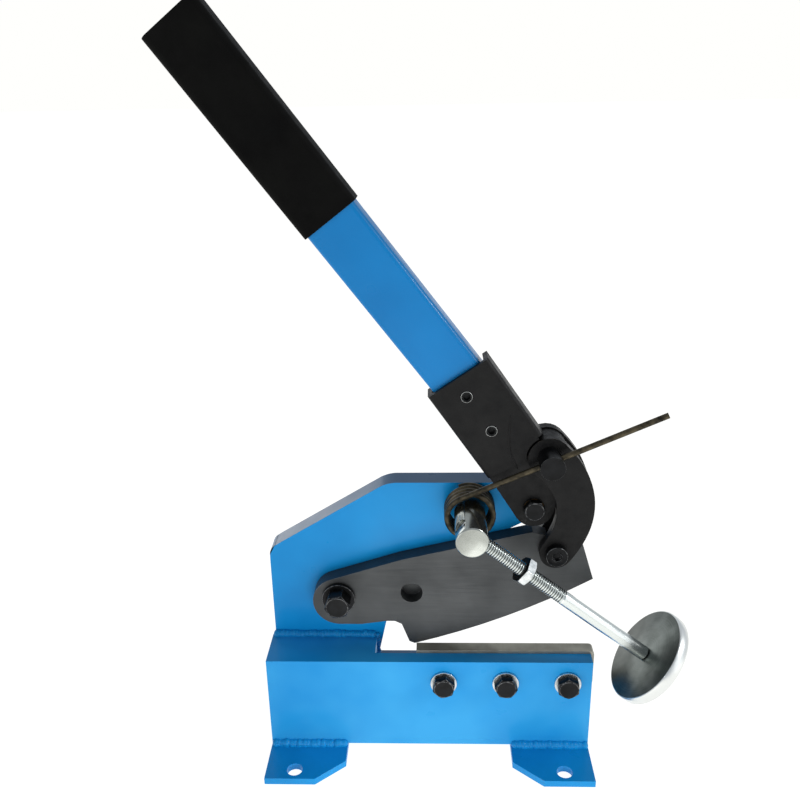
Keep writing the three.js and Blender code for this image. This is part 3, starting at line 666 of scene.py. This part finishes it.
def springWire():
    # Oil-tempered wire: brown-black scale worn to a dull shine
    material, add, shader, place = startMaterial("springWireTempered", "3A2F26", 0.38, 0.8)
    fill(shader, Base_Color=twoTone(add, place, 5, "24211A", "58503F"))
    varyRoughness(add, shader, place, 0.28, 0.46, 2)
    return material


enamel = blueEnamel("blueEnamelSprayed", "0680C3", "0E8FD3")
plateEnamel = blueEnamel("blueEnamelOnPlate", "0680C3", "0E8FD3", 0.6)
# Painted light: the bar's coat is a lighter copy, as painted sheen, and the tube's a darker copy, as painted
# shade
litBarEnamel = blueEnamel("blueEnamelLitOnBar", "128BD0", "329EDB")
shadedTubeEnamel = blueEnamel("blueEnamelShadedOnTube", "0574B7", "0A7EC3")
oxide = blackOxide("boltSteelBlacked", "6A6B6C", 0.38, 0.62)
rubbedOxide = blackOxide("boltSteelRubbed", "C9CBC9", 0.0, 0.35)
platePaint = blackPaint()
toolSteel = bladeSteel()
bareSteel = groundSteel()
zinc = zincPlate()
bronze = bearingBronze()
vinyl = dippedVinyl()
springSteel = springWire()
print("materials made")


# Fasteners, drawn along Z in millimetres

def hexHead(name, across, height, rim=0.93, edge=0.25):
    # A forged head: flat on top inside the rim, turned to a cone outside it
    rimRadius = across / 2 * rim * mm
    flatTop = circleRing(rimRadius, height * mm)
    corners = hexRing(across * mm, height * mm, rimRadius)
    foot = hexRing(across * mm, 0, across * mm)
    return breakEdges(skinRings(name, [flatTop, corners, foot]), name, edge, 2, 20)


def hexNut(name, across, height, bore, rim=0.95, edge=0.2):
    # A nut: both ends turned to cones, its bore countersunk
    rimRadius = across / 2 * rim * mm
    sink = 0.8
    top = hexRing(across * mm, height * mm, rimRadius)
    low = [Vector((p.x, p.y, height * mm - p.z)) for p in top]
    rings = [circleRing((bore + sink) * mm, height * mm), circleRing(rimRadius, height * mm), top,
             low, circleRing(rimRadius, 0), circleRing((bore + sink) * mm, 0),
             circleRing(bore * mm, sink * mm), circleRing(bore * mm, (height - sink) * mm)]
    return breakEdges(skinRings(name, rings, bored=True), name, edge, 1, 20)


def socketHead(name, radius, height, socket, depth, edge):
    # A round head with a hexagon socket in its top, bevelled at the socket's mouth
    mouth, pastCorners = 0.3, 0.59
    rings = [circleRing(radius * mm, 0), circleRing(radius * mm, height * mm),
             circleRing((socket * pastCorners + mouth) * mm, height * mm),
             hexRing(socket * mm, (height - mouth) * mm, socket * mm),
             hexRing(socket * mm, (height - depth) * mm, socket * mm)]
    return breakEdges(skinRings(name, rings), name, edge, 2, 35)


def washer(name, outer, bore, thick, edge=0.25):
    profile = [(bore, 0), (outer, 0), (outer, thick), (bore, thick)]
    return breakEdges(turned(name, profile, bored=True), name, edge, 2, 40)


def threaded(name, length, radius, start, end, pitch, material, ringsPerTurn=8):
    # A round bar with a thread; the rings are close enough to draw each turn
    rings = max(8, round(length / pitch * ringsPerTurn))
    mesh = growMesh(name, rolledThread, {
        "Length": length * mm, "Radius": radius * mm, "Thread Start": start * mm, "Thread End": end * mm,
        "Pitch": pitch * mm, "Depth": 0.55 * pitch * mm, "Tip": 0.6 * mm, "Sides": 40, "Rings": rings,
        "Material": material})
    shadeByAngle(mesh, 75)
    return mesh


def inRow(name, mesh, count, start, step, turn, material):
    # Copies of a finished mesh in a row
    piece = holdMesh(mesh)
    row = growMesh(name, repeatedRow, {
        "Piece": piece, "Count": count, "Start": start, "Step": step, "Turn": math.radians(turn),
        "Material": material})
    bpy.data.objects.remove(piece)
    return row


# Welded frame: plates with sheared edges, under one coat
feet = {"edge": 0.8, "nodes": ("left_foot", "right_foot")}
for nodeName in feet["nodes"]:
    softened(nodeName, feet["edge"], 3, enamel)

framePlate = {"edge": 0.9, "shoulderRadius": 6, "rightOf": 60, "above": 140}


def roundShoulder(settings):
    # The plate's two shoulder corners are ground round; they run front to back, high on the left
    def onShoulder(start, end):
        frontToBack = abs(start.y - end.y) > 0.9 * (start - end).length
        return frontToBack and start.x < settings["rightOf"] * mm and start.z > settings["above"] * mm

    shape = roundEdges(cleanCopy("frame_plate"), settings["shoulderRadius"], 5, onShoulder)
    softened("frame_plate", settings["edge"], 3, plateEnamel, shape=shape)


roundShoulder(framePlate)

baseBar = {"edge": 0.9, "sunk": 0.5}


def weldedBar(settings):
    # The bar and the block behind it, welded and ground flush, so that their tops are one face
    spacer = cleanCopy("jaw_spacer")
    front = boxOf("jaw_spacer")[0].y
    reach = front - boxOf("base_bar")[1].y + settings["sunk"] * mm
    for vertex in spacer.vertices:
        if vertex.co.y < front + settings["sunk"] * mm:
            vertex.co.y -= reach
    whole = combined(cleanCopy("base_bar"), spacer, "UNION", "baseBarDressed")
    finished = breakEdges(whole, "baseBarDressed", settings["edge"], 3)
    # The bar takes the lighter copy of the enamel, a painted sheen
    newPiece("baseBarDressed", finished, litBarEnamel, "frame", ["base_bar", "jaw_spacer"])


weldedBar(baseBar)

beads = {
    "frame_weld": {"radius": 3.7, "seed": 3},
    "left_foot_weld": {"radius": 4.1, "seed": 7},
    "right_foot_weld": {"radius": 4.1, "seed": 11},
}
welding = {"pitch": 1.9, "uneven": 0.22, "shift": (0.4, 0.3, 0.3), "turnsDown": "frame_weld",
           "downLength": 22, "downRadius": 0.8, "downUneven": 0.4}


def layBead(name, length, radius, uneven, seed, settings):
    return growMesh(name, weldBead, {
        "Length": length, "Radius": radius * mm, "Pitch": settings["pitch"] * mm, "Uneven": uneven,
        "Shift": [along * mm for along in settings["shift"]], "Seed": seed, "Material": enamel})


for nodeName, bead in beads.items():
    # The bead's middle lies in the corner that it fills: behind and below its box
    low, high, _ = boxOf(nodeName)
    ripples = layBead(nodeName + "Dressed", high.x - low.x, bead["radius"], welding["uneven"],
                      bead["seed"], welding)
    moved(ripples, Matrix.Translation((low.x + welding["pitch"] * mm / 2, high.y, low.z)))
    if nodeName == welding["turnsDown"]:
        # The bead turns the corner and runs down the block's end
        ending = layBead("beadEnding", welding["downLength"] * mm, bead["radius"] * welding["downRadius"],
                         welding["downUneven"], bead["seed"] + 1, welding)
        corner = boxOf("jaw_spacer")[1]
        down = Matrix.Translation((corner.x, high.y, corner.z)) @ Matrix.Rotation(math.radians(90), 4, "Y")
        ripples = joined(nodeName, ripples, moved(ending, down))
    ripples.shade_smooth()
    newPiece(nodeName + "Dressed", ripples, enamel, "frame", [nodeName])
print("frame dressed")

# Blades
blades = {
    "lower_blade": {"edge": 0.35, "steel": bareSteel, "slot": "ground_steel"},
    "upper_blade": {"edge": 0.5, "steel": toolSteel, "slot": "blade_steel"},
}
for nodeName, blade in blades.items():
    softened(nodeName, blade["edge"], 2, blade["steel"])

# Blade bolts and their washers, in a row along the bar
bladeBolts = {"count": 3, "across": 14, "head": 5.5, "shank": 4.0, "turn": 23, "firstTurn": 12,
              "washer": 9.2, "bore": 4.3, "thick": 1.6}


def bladeBoltRow(settings):
    low, high, middle = boxOf("blade_bolt_1")
    step = Vector((boxOf("blade_bolt_2")[0].x - low.x, 0, 0))
    count = settings["count"]
    headFoot = low.y + settings["head"] * mm
    head = moved(hexHead("bladeBoltHead", settings["across"], settings["head"]),
                 alongY(0, 0, 0, settings["firstTurn"]))
    shankLength = (high.y - headFoot) / mm
    shank = moved(turned("shank", [(settings["shank"], -shankLength), (settings["shank"], overlap)], 32),
                  alongY(0, 0, 0))
    bolt = joined("bladeBolt", head, shank)
    shadeByAngle(bolt, 25)
    place = (middle.x, headFoot, middle.z)
    bolts = inRow("bladeBoltsDressed", bolt, count, place, step, settings["turn"], oxide)
    names = [f"blade_bolt_{i + 1}" for i in range(count)]
    newPiece("bladeBoltsDressed", bolts, oxide, "frame", names)
    ring = moved(washer("bladeWasher", settings["washer"], settings["bore"], settings["thick"]),
                 alongY(0, 0, 0))
    place = (middle.x, boxOf("blade_washer_1")[1].y, middle.z)
    washers = inRow("bladeWashersDressed", ring, count, place, step, 0, zinc)
    names = [f"blade_washer_{i + 1}" for i in range(count)]
    newPiece("bladeWashersDressed", washers, zinc, "frame", names)


bladeBoltRow(bladeBolts)


def boltThrough(nodeName, pieceName, head, settings):
    # A bolt for a CAD node: its head in front, a plain shank, and a threaded tip for the nut
    low, high, middle = boxOf(nodeName)
    headFoot = low.y + settings["head"] * mm
    plain = (high.y - headFoot) / mm - settings["tip"]
    moved(head, alongY(middle.x, headFoot, middle.z, settings["turn"]))
    shank = moved(turned("shank", [(settings["shank"], -plain - overlap), (settings["shank"], overlap)], 48),
                  alongY(middle.x, headFoot, middle.z))
    tip = threaded("tip", settings["tip"], settings["shank"], 0, settings["tip"], settings["pitch"], oxide)
    moved(tip, alongY(middle.x, high.y, middle.z))
    whole = joined(pieceName, head, shank, tip)
    shadeByAngle(whole, settings["sharp"])
    newPiece(pieceName, whole, oxide, bodyOf(nodeName), [nodeName])


# Pivot bolts, with hexagon heads
pivotBolts = {
    "pivot_bolt": {"across": 16, "head": 10, "shank": 5, "tip": 12, "pitch": 1.5, "turn": 20, "sharp": 30},
    "lever_bolt": {"across": 13, "head": 5.5, "shank": 4, "tip": 10, "pitch": 1.25, "turn": 35, "sharp": 30},
}
for nodeName, bolt in pivotBolts.items():
    boltThrough(nodeName, nodeName + "Dressed", hexHead("head", bolt["across"], bolt["head"]), bolt)

# Nuts across the back, and the round washers
nuts = {
    "pivot_nut": {"across": 16, "bore": 5.0, "turn": 8},
    "lever_nut": {"across": 13, "bore": 4.0, "turn": 25},
    "link_nut": {"across": 13, "bore": 4.0, "turn": 14},
    "hold_down_nut": {"across": 19, "bore": 6.0, "turn": 5},
}
for nodeName, nut in nuts.items():
    low, high, middle = boxOf(nodeName)
    shape = hexNut(nodeName + "Dressed", nut["across"], (high.y - low.y) / mm, nut["bore"])
    moved(shape, alongY(middle.x, high.y, middle.z, nut["turn"]))
    newPiece(nodeName + "Dressed", shape, zinc, bodyOf(nodeName), [nodeName])

washers = {
    "pivot_washer": {"bore": 5.3, "edge": 0.4, "material": oxide, "slot": "black_steel"},
    "spring_pin_clip": {"bore": 6.0, "edge": 0.4, "material": zinc, "slot": "zinc"},
}
for nodeName, ring in washers.items():
    low, high, middle = boxOf(nodeName)
    outer, thick = (high.x - low.x) / 2 / mm, (high.y - low.y) / mm
    shape = washer(nodeName + "Dressed", outer, ring["bore"], thick, ring["edge"])
    moved(shape, alongY(middle.x, high.y, middle.z))
    newPiece(nodeName + "Dressed", shape, ring["material"], bodyOf(nodeName), [nodeName])

bushes = {"edge": 0.2, "nodes": ("blade_bush", "lever_bush")}
for nodeName in bushes["nodes"]:
    softened(nodeName, bushes["edge"], 1, bronze)
print("blades dressed")

# Lever: flame-cut plate, bent sleeve, blue tube and its grip
leverEdges = {"lever_plate": 0.8, "front_link": 1.0, "rear_link": 1.0, "lever_sleeve": 0.6}
for nodeName, edge in leverEdges.items():
    softened(nodeName, edge, 3, platePaint)

handle = {"tubeEdge": 0.3, "gripEdge": 1.6}
# The tube takes the darker copy of the enamel, painted shade
softened("handle_tube", handle["tubeEdge"], 1, shadedTubeEnamel)
softened("handle_grip", handle["gripEdge"], 4, vinyl)

# The sleeve's paint has run down its front face; the course is in millimetres across and up
paintRun = {"width": 1.5, "proud": 0.5, "thinEnds": 0.4, "steps": 6, "sides": 10,
            "course": ((139.9, 256.3), (138.9, 248.8), (138.5, 237.8), (139.4, 229.4), (142.1, 223.1),
                       (144.6, 217.4))}


def alongCourse(points, steps):
    # A smooth way through the points
    padded = [points[0], *points, points[-1]]
    places = []
    for before, start, end, after in zip(padded, padded[1:], padded[2:], padded[3:]):
        leave = (end - before) / 2
        arrive = (after - start) / 2
        for i in range(steps):
            t = i / steps
            places.append(start * (2 * t ** 3 - 3 * t ** 2 + 1) + leave * (t ** 3 - 2 * t ** 2 + t)
                          + end * (3 * t ** 2 - 2 * t ** 3) + arrive * (t ** 3 - t ** 2))
    return [*places, points[-1]]


def runOfPaint(settings):
    # A low ridge, thin at both its ends
    face = boxOf("lever_sleeve")[0].y
    way = alongCourse([Vector((x * mm, face, z * mm)) for x, z in settings["course"]], settings["steps"])
    across = settings["width"] / 2 * mm
    proud = settings["proud"] * mm
    thin = settings["thinEnds"]
    rings = []
    for i, place in enumerate(way):
        swell = thin + (1 - thin) * math.sin(math.pi * i / (len(way) - 1)) ** 0.5
        angles = [2 * math.pi * k / settings["sides"] for k in range(settings["sides"])]
        rings.append([place + Vector((across * math.cos(a), proud * math.sin(a), 0)) * swell for a in angles])
    run = skinRings("paintRun", rings)
    shadeByAngle(run, 60)
    newPiece("paintRun", run, platePaint, "lever", [])


runOfPaint(paintRun)

# Grub screws that hold the tube: their rims bright, their sockets dark
grubScrews = {"count": 2, "radius": 3.7, "socket": 4.0, "depth": 2.6, "length": 7, "edge": 0.7,
              "brightRim": 0.75, "firstTurn": 10, "turn": 40}


def grubScrewRow(settings):
    low, high, middle = boxOf("set_screw_1")
    screw = socketHead("grubScrew", settings["radius"], settings["length"], settings["socket"],
                       settings["depth"], settings["edge"])
    for i, face in enumerate(screw.polygons):
        if face.center.xy.length < settings["radius"] * settings["brightRim"] * mm:
            screw.attributes["broken"].data[i].value = 0
    moved(screw, alongY(0, 0, 0, settings["firstTurn"]))
    step = boxOf("set_screw_2")[0] - low
    row = inRow("grubScrewsDressed", screw, settings["count"], (middle.x, high.y, middle.z), step,
                settings["turn"], rubbedOxide)
    newPiece("grubScrewsDressed", row, rubbedOxide, "lever", ["set_screw_1", "set_screw_2"])


grubScrewRow(grubScrews)

# Lower pin of the links: a socket cap screw with a threaded tip
linkScrew = {"head": 5.0, "socket": 6.0, "depth": 2.4, "edge": 0.5, "shank": 3.88, "tip": 10, "pitch": 1.25,
             "turn": 12, "sharp": 35}


def capScrew(settings):
    low, high, _ = boxOf("link_screw")
    head = socketHead("head", (high.x - low.x) / 2 / mm, settings["head"], settings["socket"],
                      settings["depth"], settings["edge"])
    boltThrough("link_screw", "linkScrewDressed", head, settings)


capScrew(linkScrew)

springPin = {"edge": 0.7}
softened("spring_pin", springPin["edge"], 3, oxide)
print("lever dressed")

# Return spring, wound round the hold-down post; its leg slides in the spring pin
returnSpring = {"curls": 4.0, "pitch": 4.5, "wire": 1.9, "coil": 15.3, "leg": 142.0, "lift": 0.8,
                "pinHole": 6.3, "points": 640, "sides": 16}


def windSpring(settings):
    post = Vector(jointNamed("spring_swing")["pos_m"])
    pin = Vector(jointNamed("spring_pin_swivel")["pos_m"])
    centre = Vector((post.x, 0, post.z + settings["lift"] * mm))
    across = Vector((pin.x - centre.x, pin.z - centre.z))
    coil = settings["coil"] * mm
    legAngle = math.atan2(across.y, across.x) - math.asin(coil / across.length)
    coilBack = boxOf("torsion_spring")[1].y - settings["wire"] * mm
    legHeight = boxOf("front_link")[0].y - settings["pinHole"] * mm
    climb = settings["curls"] * settings["pitch"] * mm
    touch = math.sqrt(across.length ** 2 - coil ** 2)
    rise = (coilBack - climb - legHeight) / touch
    wire = growMesh("returnSpringDressed", woundSpring, {
        "Coil Radius": coil, "Wire Radius": settings["wire"] * mm, "Curls": settings["curls"],
        "Pitch": settings["pitch"] * mm, "Leg": settings["leg"] * mm, "Leg Rise": rise,
        "Points": settings["points"], "Sides": settings["sides"], "Material": springSteel})
    # The tree winds up along Z; here Z runs to the front and the leg points up to the right
    moved(wire, alongY(centre.x, coilBack, centre.z, -math.degrees(legAngle)))
    work = openMesh(wire)
    bmesh.ops.recalc_face_normals(work, faces=work.faces)
    shadeByAngle(closeMesh(work, wire), 50)
    newPiece("returnSpringDressed", wire, springSteel, "spring", ["torsion_spring"])


windSpring(returnSpring)
print("spring wound")


def towards(start, direction):
    # Places a piece drawn along Z from zero: from start, along the direction
    return Matrix.Translation(start) @ direction.to_track_quat("Z", "Y").to_matrix().to_4x4()


# Hold-down: a turned post, a threaded rod through it, a jam nut and a round pad
swivel = Vector(jointNamed("hold_down_swing")["pos_m"])
rodWay = Vector(jointNamed("rod_screw")["axis"])
holdDownPost = {"radius": 10.5, "chamfer": 0.7, "gap": 0.3, "boreEdge": 0.25, "stud": 6, "sunk": 1,
                "studTip": 12, "studPitch": 1.75}
holdDownRod = {"radius": 4.8, "play": 0.3, "tail": 9, "threadStart": 0.6, "threadEnd": 85, "pitch": 1.7}
jamNut = {"across": 17, "play": 0.1, "rim": 0.96, "edge": 0.3}
pressurePad = {"radius": 32.7, "thick": 8, "rim": 1.4}

rodLow, rodHigh, rodMiddle = boxOf("hold_down_rod")
onPost = Vector((swivel.x, rodMiddle.y, swivel.z))


def turnPost(settings, rod):
    # The post with its cross hole, and the stud that goes through the frame
    low, high, _ = boxOf("hold_down_post")
    plateFront = boxOf("frame_plate")[0].y
    length = (plateFront - low.y) / mm - settings["gap"]
    chamfer = settings["chamfer"]
    radius = settings["radius"]
    profile = [(radius - chamfer, 0), (radius, chamfer), (radius, length - chamfer),
               (radius - chamfer, length)]
    shape = moved(turned("post", profile, 96), alongY(swivel.x, plateFront - settings["gap"] * mm, swivel.z))
    boreRadius = rod["radius"] + rod["play"]
    bore = turned("bore", [(boreRadius, -2 * radius), (boreRadius, 2 * radius)], 48)
    moved(bore, towards(onPost, rodWay))
    drilled = combined(shape, bore, "DIFFERENCE", "post")
    finished = breakEdges(drilled, "post", settings["boreEdge"], 2, 30)
    plain = (high.y - plateFront) / mm - settings["studTip"]
    studProfile = [(settings["stud"], -plain - overlap), (settings["stud"], settings["sunk"])]
    stud = moved(turned("stud", studProfile, 48), alongY(swivel.x, plateFront, swivel.z))
    tip = threaded("tip", settings["studTip"], settings["stud"], 0, settings["studTip"],
                   settings["studPitch"], zinc)
    moved(tip, alongY(swivel.x, high.y, swivel.z))
    whole = joined("holdDownPostDressed", finished, stud, tip)
    shadeByAngle(whole, 30)
    postSteel = polishedPost((swivel.x, 0, swivel.z))
    newPiece("holdDownPostDressed", whole, postSteel, "hold_down", ["hold_down_post"])


def threadRod(settings):
    # The rod: threaded from its tail to past the jam nut, smooth on to the pad
    width = 2 * settings["radius"] * mm * abs(rodWay.z)
    length = (rodHigh.x - rodLow.x - width) / rodWay.x / mm
    tail = onPost - rodWay * settings["tail"] * mm
    place = towards(tail, rodWay)
    rodZinc = threadedZinc(tail, place.to_euler(), settings["radius"], settings["pitch"])
    rod = threaded("holdDownRodDressed", length, settings["radius"], settings["threadStart"],
                   settings["threadEnd"], settings["pitch"], rodZinc, 10)
    newPiece("holdDownRodDressed", moved(rod, place), rodZinc, "rod", ["hold_down_rod"])


def makeJamNut(settings, rod):
    low, high, middle = boxOf("jam_nut")
    thick = (high.x - low.x - settings["across"] * mm * abs(rodWay.z)) / rodWay.x / mm
    nut = hexNut("jamNutDressed", settings["across"], thick, rod["radius"] + settings["play"],
                 settings["rim"], settings["edge"])
    start = middle - rodWay * thick / 2 * mm
    place = towards(start, rodWay)
    nutZinc = shadedEndNutZinc(start, place.to_euler())
    newPiece("jamNutDressed", moved(nut, place), nutZinc, "jam_nut", ["jam_nut"])


def turnPad(settings):
    # The pad: turned on the lathe, its edges rounded
    middle = boxOf("pressure_pad")[2]
    rim, radius, thick = settings["rim"], settings["radius"], settings["thick"]
    profile = [(radius - rim, 0), (radius - 0.3 * rim, 0.3 * rim), (radius, rim), (radius, thick - rim),
               (radius - 0.3 * rim, thick - 0.3 * rim), (radius - rim, thick)]
    place = towards(middle - rodWay * thick / 2 * mm, rodWay)
    pad = moved(turned("pressurePadDressed", profile, 128), place)
    shadeByAngle(pad, 35)
    padSteel = turnedPad(middle, place.to_euler(), thick)
    newPiece("pressurePadDressed", pad, padSteel, "rod", ["pressure_pad"])


turnPost(holdDownPost, holdDownRod)
threadRod(holdDownRod)
makeJamNut(jamNut, holdDownRod)
turnPad(pressurePad)
print("hold-down dressed")

# Camera: the photograph's viewpoint, worked out from upright edges and the blade's length
photoView = {"focalPixels": 849.9, "framePixels": 800, "centreX": 405.0, "centreY": 393.9,
             "place": (0.0901, -0.5118, 0.4522), "pitch": 20.0, "yaw": 2.0, "roll": 1.0}


def makeCamera(view):
    data = bpy.data.cameras.new("camera")
    data.sensor_width = 36
    data.lens = view["focalPixels"] / view["framePixels"] * data.sensor_width
    half = view["framePixels"] / 2
    data.shift_x = (half - view["centreX"]) / view["framePixels"]
    data.shift_y = (view["centreY"] - half) / view["framePixels"]
    data.clip_start = 0.01
    camera = bpy.data.objects.new("camera", data)
    turn = (Matrix.Rotation(math.radians(view["yaw"]), 4, "Z")
            @ Matrix.Rotation(math.radians(90 - view["pitch"]), 4, "X")
            @ Matrix.Rotation(math.radians(-view["roll"]), 4, "Z"))
    camera.matrix_world = Matrix.Translation(view["place"]) @ turn
    bpy.context.scene.collection.objects.link(camera)
    bpy.context.scene.camera = camera


makeCamera(photoView)

# Studio: a lit white floor, a white backdrop and soft lights; places are in metres, powers in watts
studio = {"floorSize": 40.0, "floorColour": "9A9A98", "floorDrop": 0.0005, "glowColour": "FFFFFD",
          "floorGlow": 0.95, "backdrop": "FFFFFD", "skyColour": "DDE3EA", "skyStrength": 0.26,
          "skyInGloss": 0.75}
wholePart = (0.09, 0.0, 0.2)
lights = {
    "key": {"place": (-1.3, -1.2, 0.3), "aim": wholePart, "size": 1.2, "power": 6},
    "side": {"place": (1.5, -1.0, 0.4), "aim": wholePart, "size": 1.0, "power": 2.5},
    "high": {"place": (1.34, -0.32, 0.92), "aim": (0.0, 0.0, 0.36), "size": 0.22, "power": 6},
    "low": {"place": (0.12, -0.42, 0.05), "aim": (0.1, 0.0, 0.03), "size": 0.3, "power": 0.9,
            "mirrored": False},
    "card": {"place": (0.09, -0.17, 0.01), "aim": (0.09, -0.02, 0.05), "size": 0.12, "power": 0.06},
    "rear": {"place": (-1.0, 1.3, 0.5), "aim": wholePart, "size": 0.9, "power": 5},
}


def makeFloor(settings):
    half = settings["floorSize"] / 2
    corners = [(-half, -half, 0), (half, -half, 0), (half, half, 0), (-half, half, 0)]
    mesh = bpy.data.meshes.new("floor")
    mesh.from_pydata(corners, [], [(0, 1, 2, 3)])
    floor = bpy.data.objects.new("floor", mesh)
    bpy.context.scene.collection.objects.link(floor)
    material, add, shader, place = startMaterial("floorPaper", settings["floorColour"], 0.8)
    varyRoughness(add, shader, place, 0.75, 0.85, 30)
    fill(shader, Specular_IOR_Level=0.1, Emission_Color=toLinear(settings["glowColour"]),
         Emission_Strength=settings["floorGlow"])
    mesh.materials.append(material)
    floor.location.z = -settings["floorDrop"]


def makeSky(settings):
    # The backdrop shows white; the room lights the part softly, and bright metal mirrors more of it
    world = bpy.data.worlds.new("sky")
    world.use_nodes = True
    add = partial(addNode, world.node_tree)
    room = world.node_tree.nodes["Background"]
    path = add("ShaderNodeLightPath").node.outputs
    strength = add("ShaderNodeMapRange", path["Is Glossy Ray"], 0, 1, settings["skyStrength"],
                   settings["skyInGloss"])
    fill(room, Color=toLinear(settings["skyColour"]), Strength=strength)
    seen = add("ShaderNodeBackground", Color=toLinear(settings["backdrop"]), Strength=1.0)
    either = add("ShaderNodeMixShader", path["Is Camera Ray"], room.outputs[0], seen)
    fill(world.node_tree.nodes["World Output"], Surface=either)
    bpy.context.scene.world = world


def makeLight(name, settings):
    data = bpy.data.lights.new(name, "AREA")
    data.shape = "SQUARE"
    data.size = settings["size"]
    data.energy = settings["power"]
    light = bpy.data.objects.new(name, data)
    light.location = settings["place"]
    light.visible_camera = False
    light.visible_glossy = settings.get("mirrored", True)
    aim = Vector(settings["aim"]) - Vector(settings["place"])
    light.rotation_euler = aim.to_track_quat("-Z", "Y").to_euler()
    bpy.context.scene.collection.objects.link(light)


makeFloor(studio)
makeSky(studio)
for lightName, lightSettings in lights.items():
    makeLight(lightName, lightSettings)
bpy.context.scene.view_settings.view_transform = "Standard"
print("studio set")
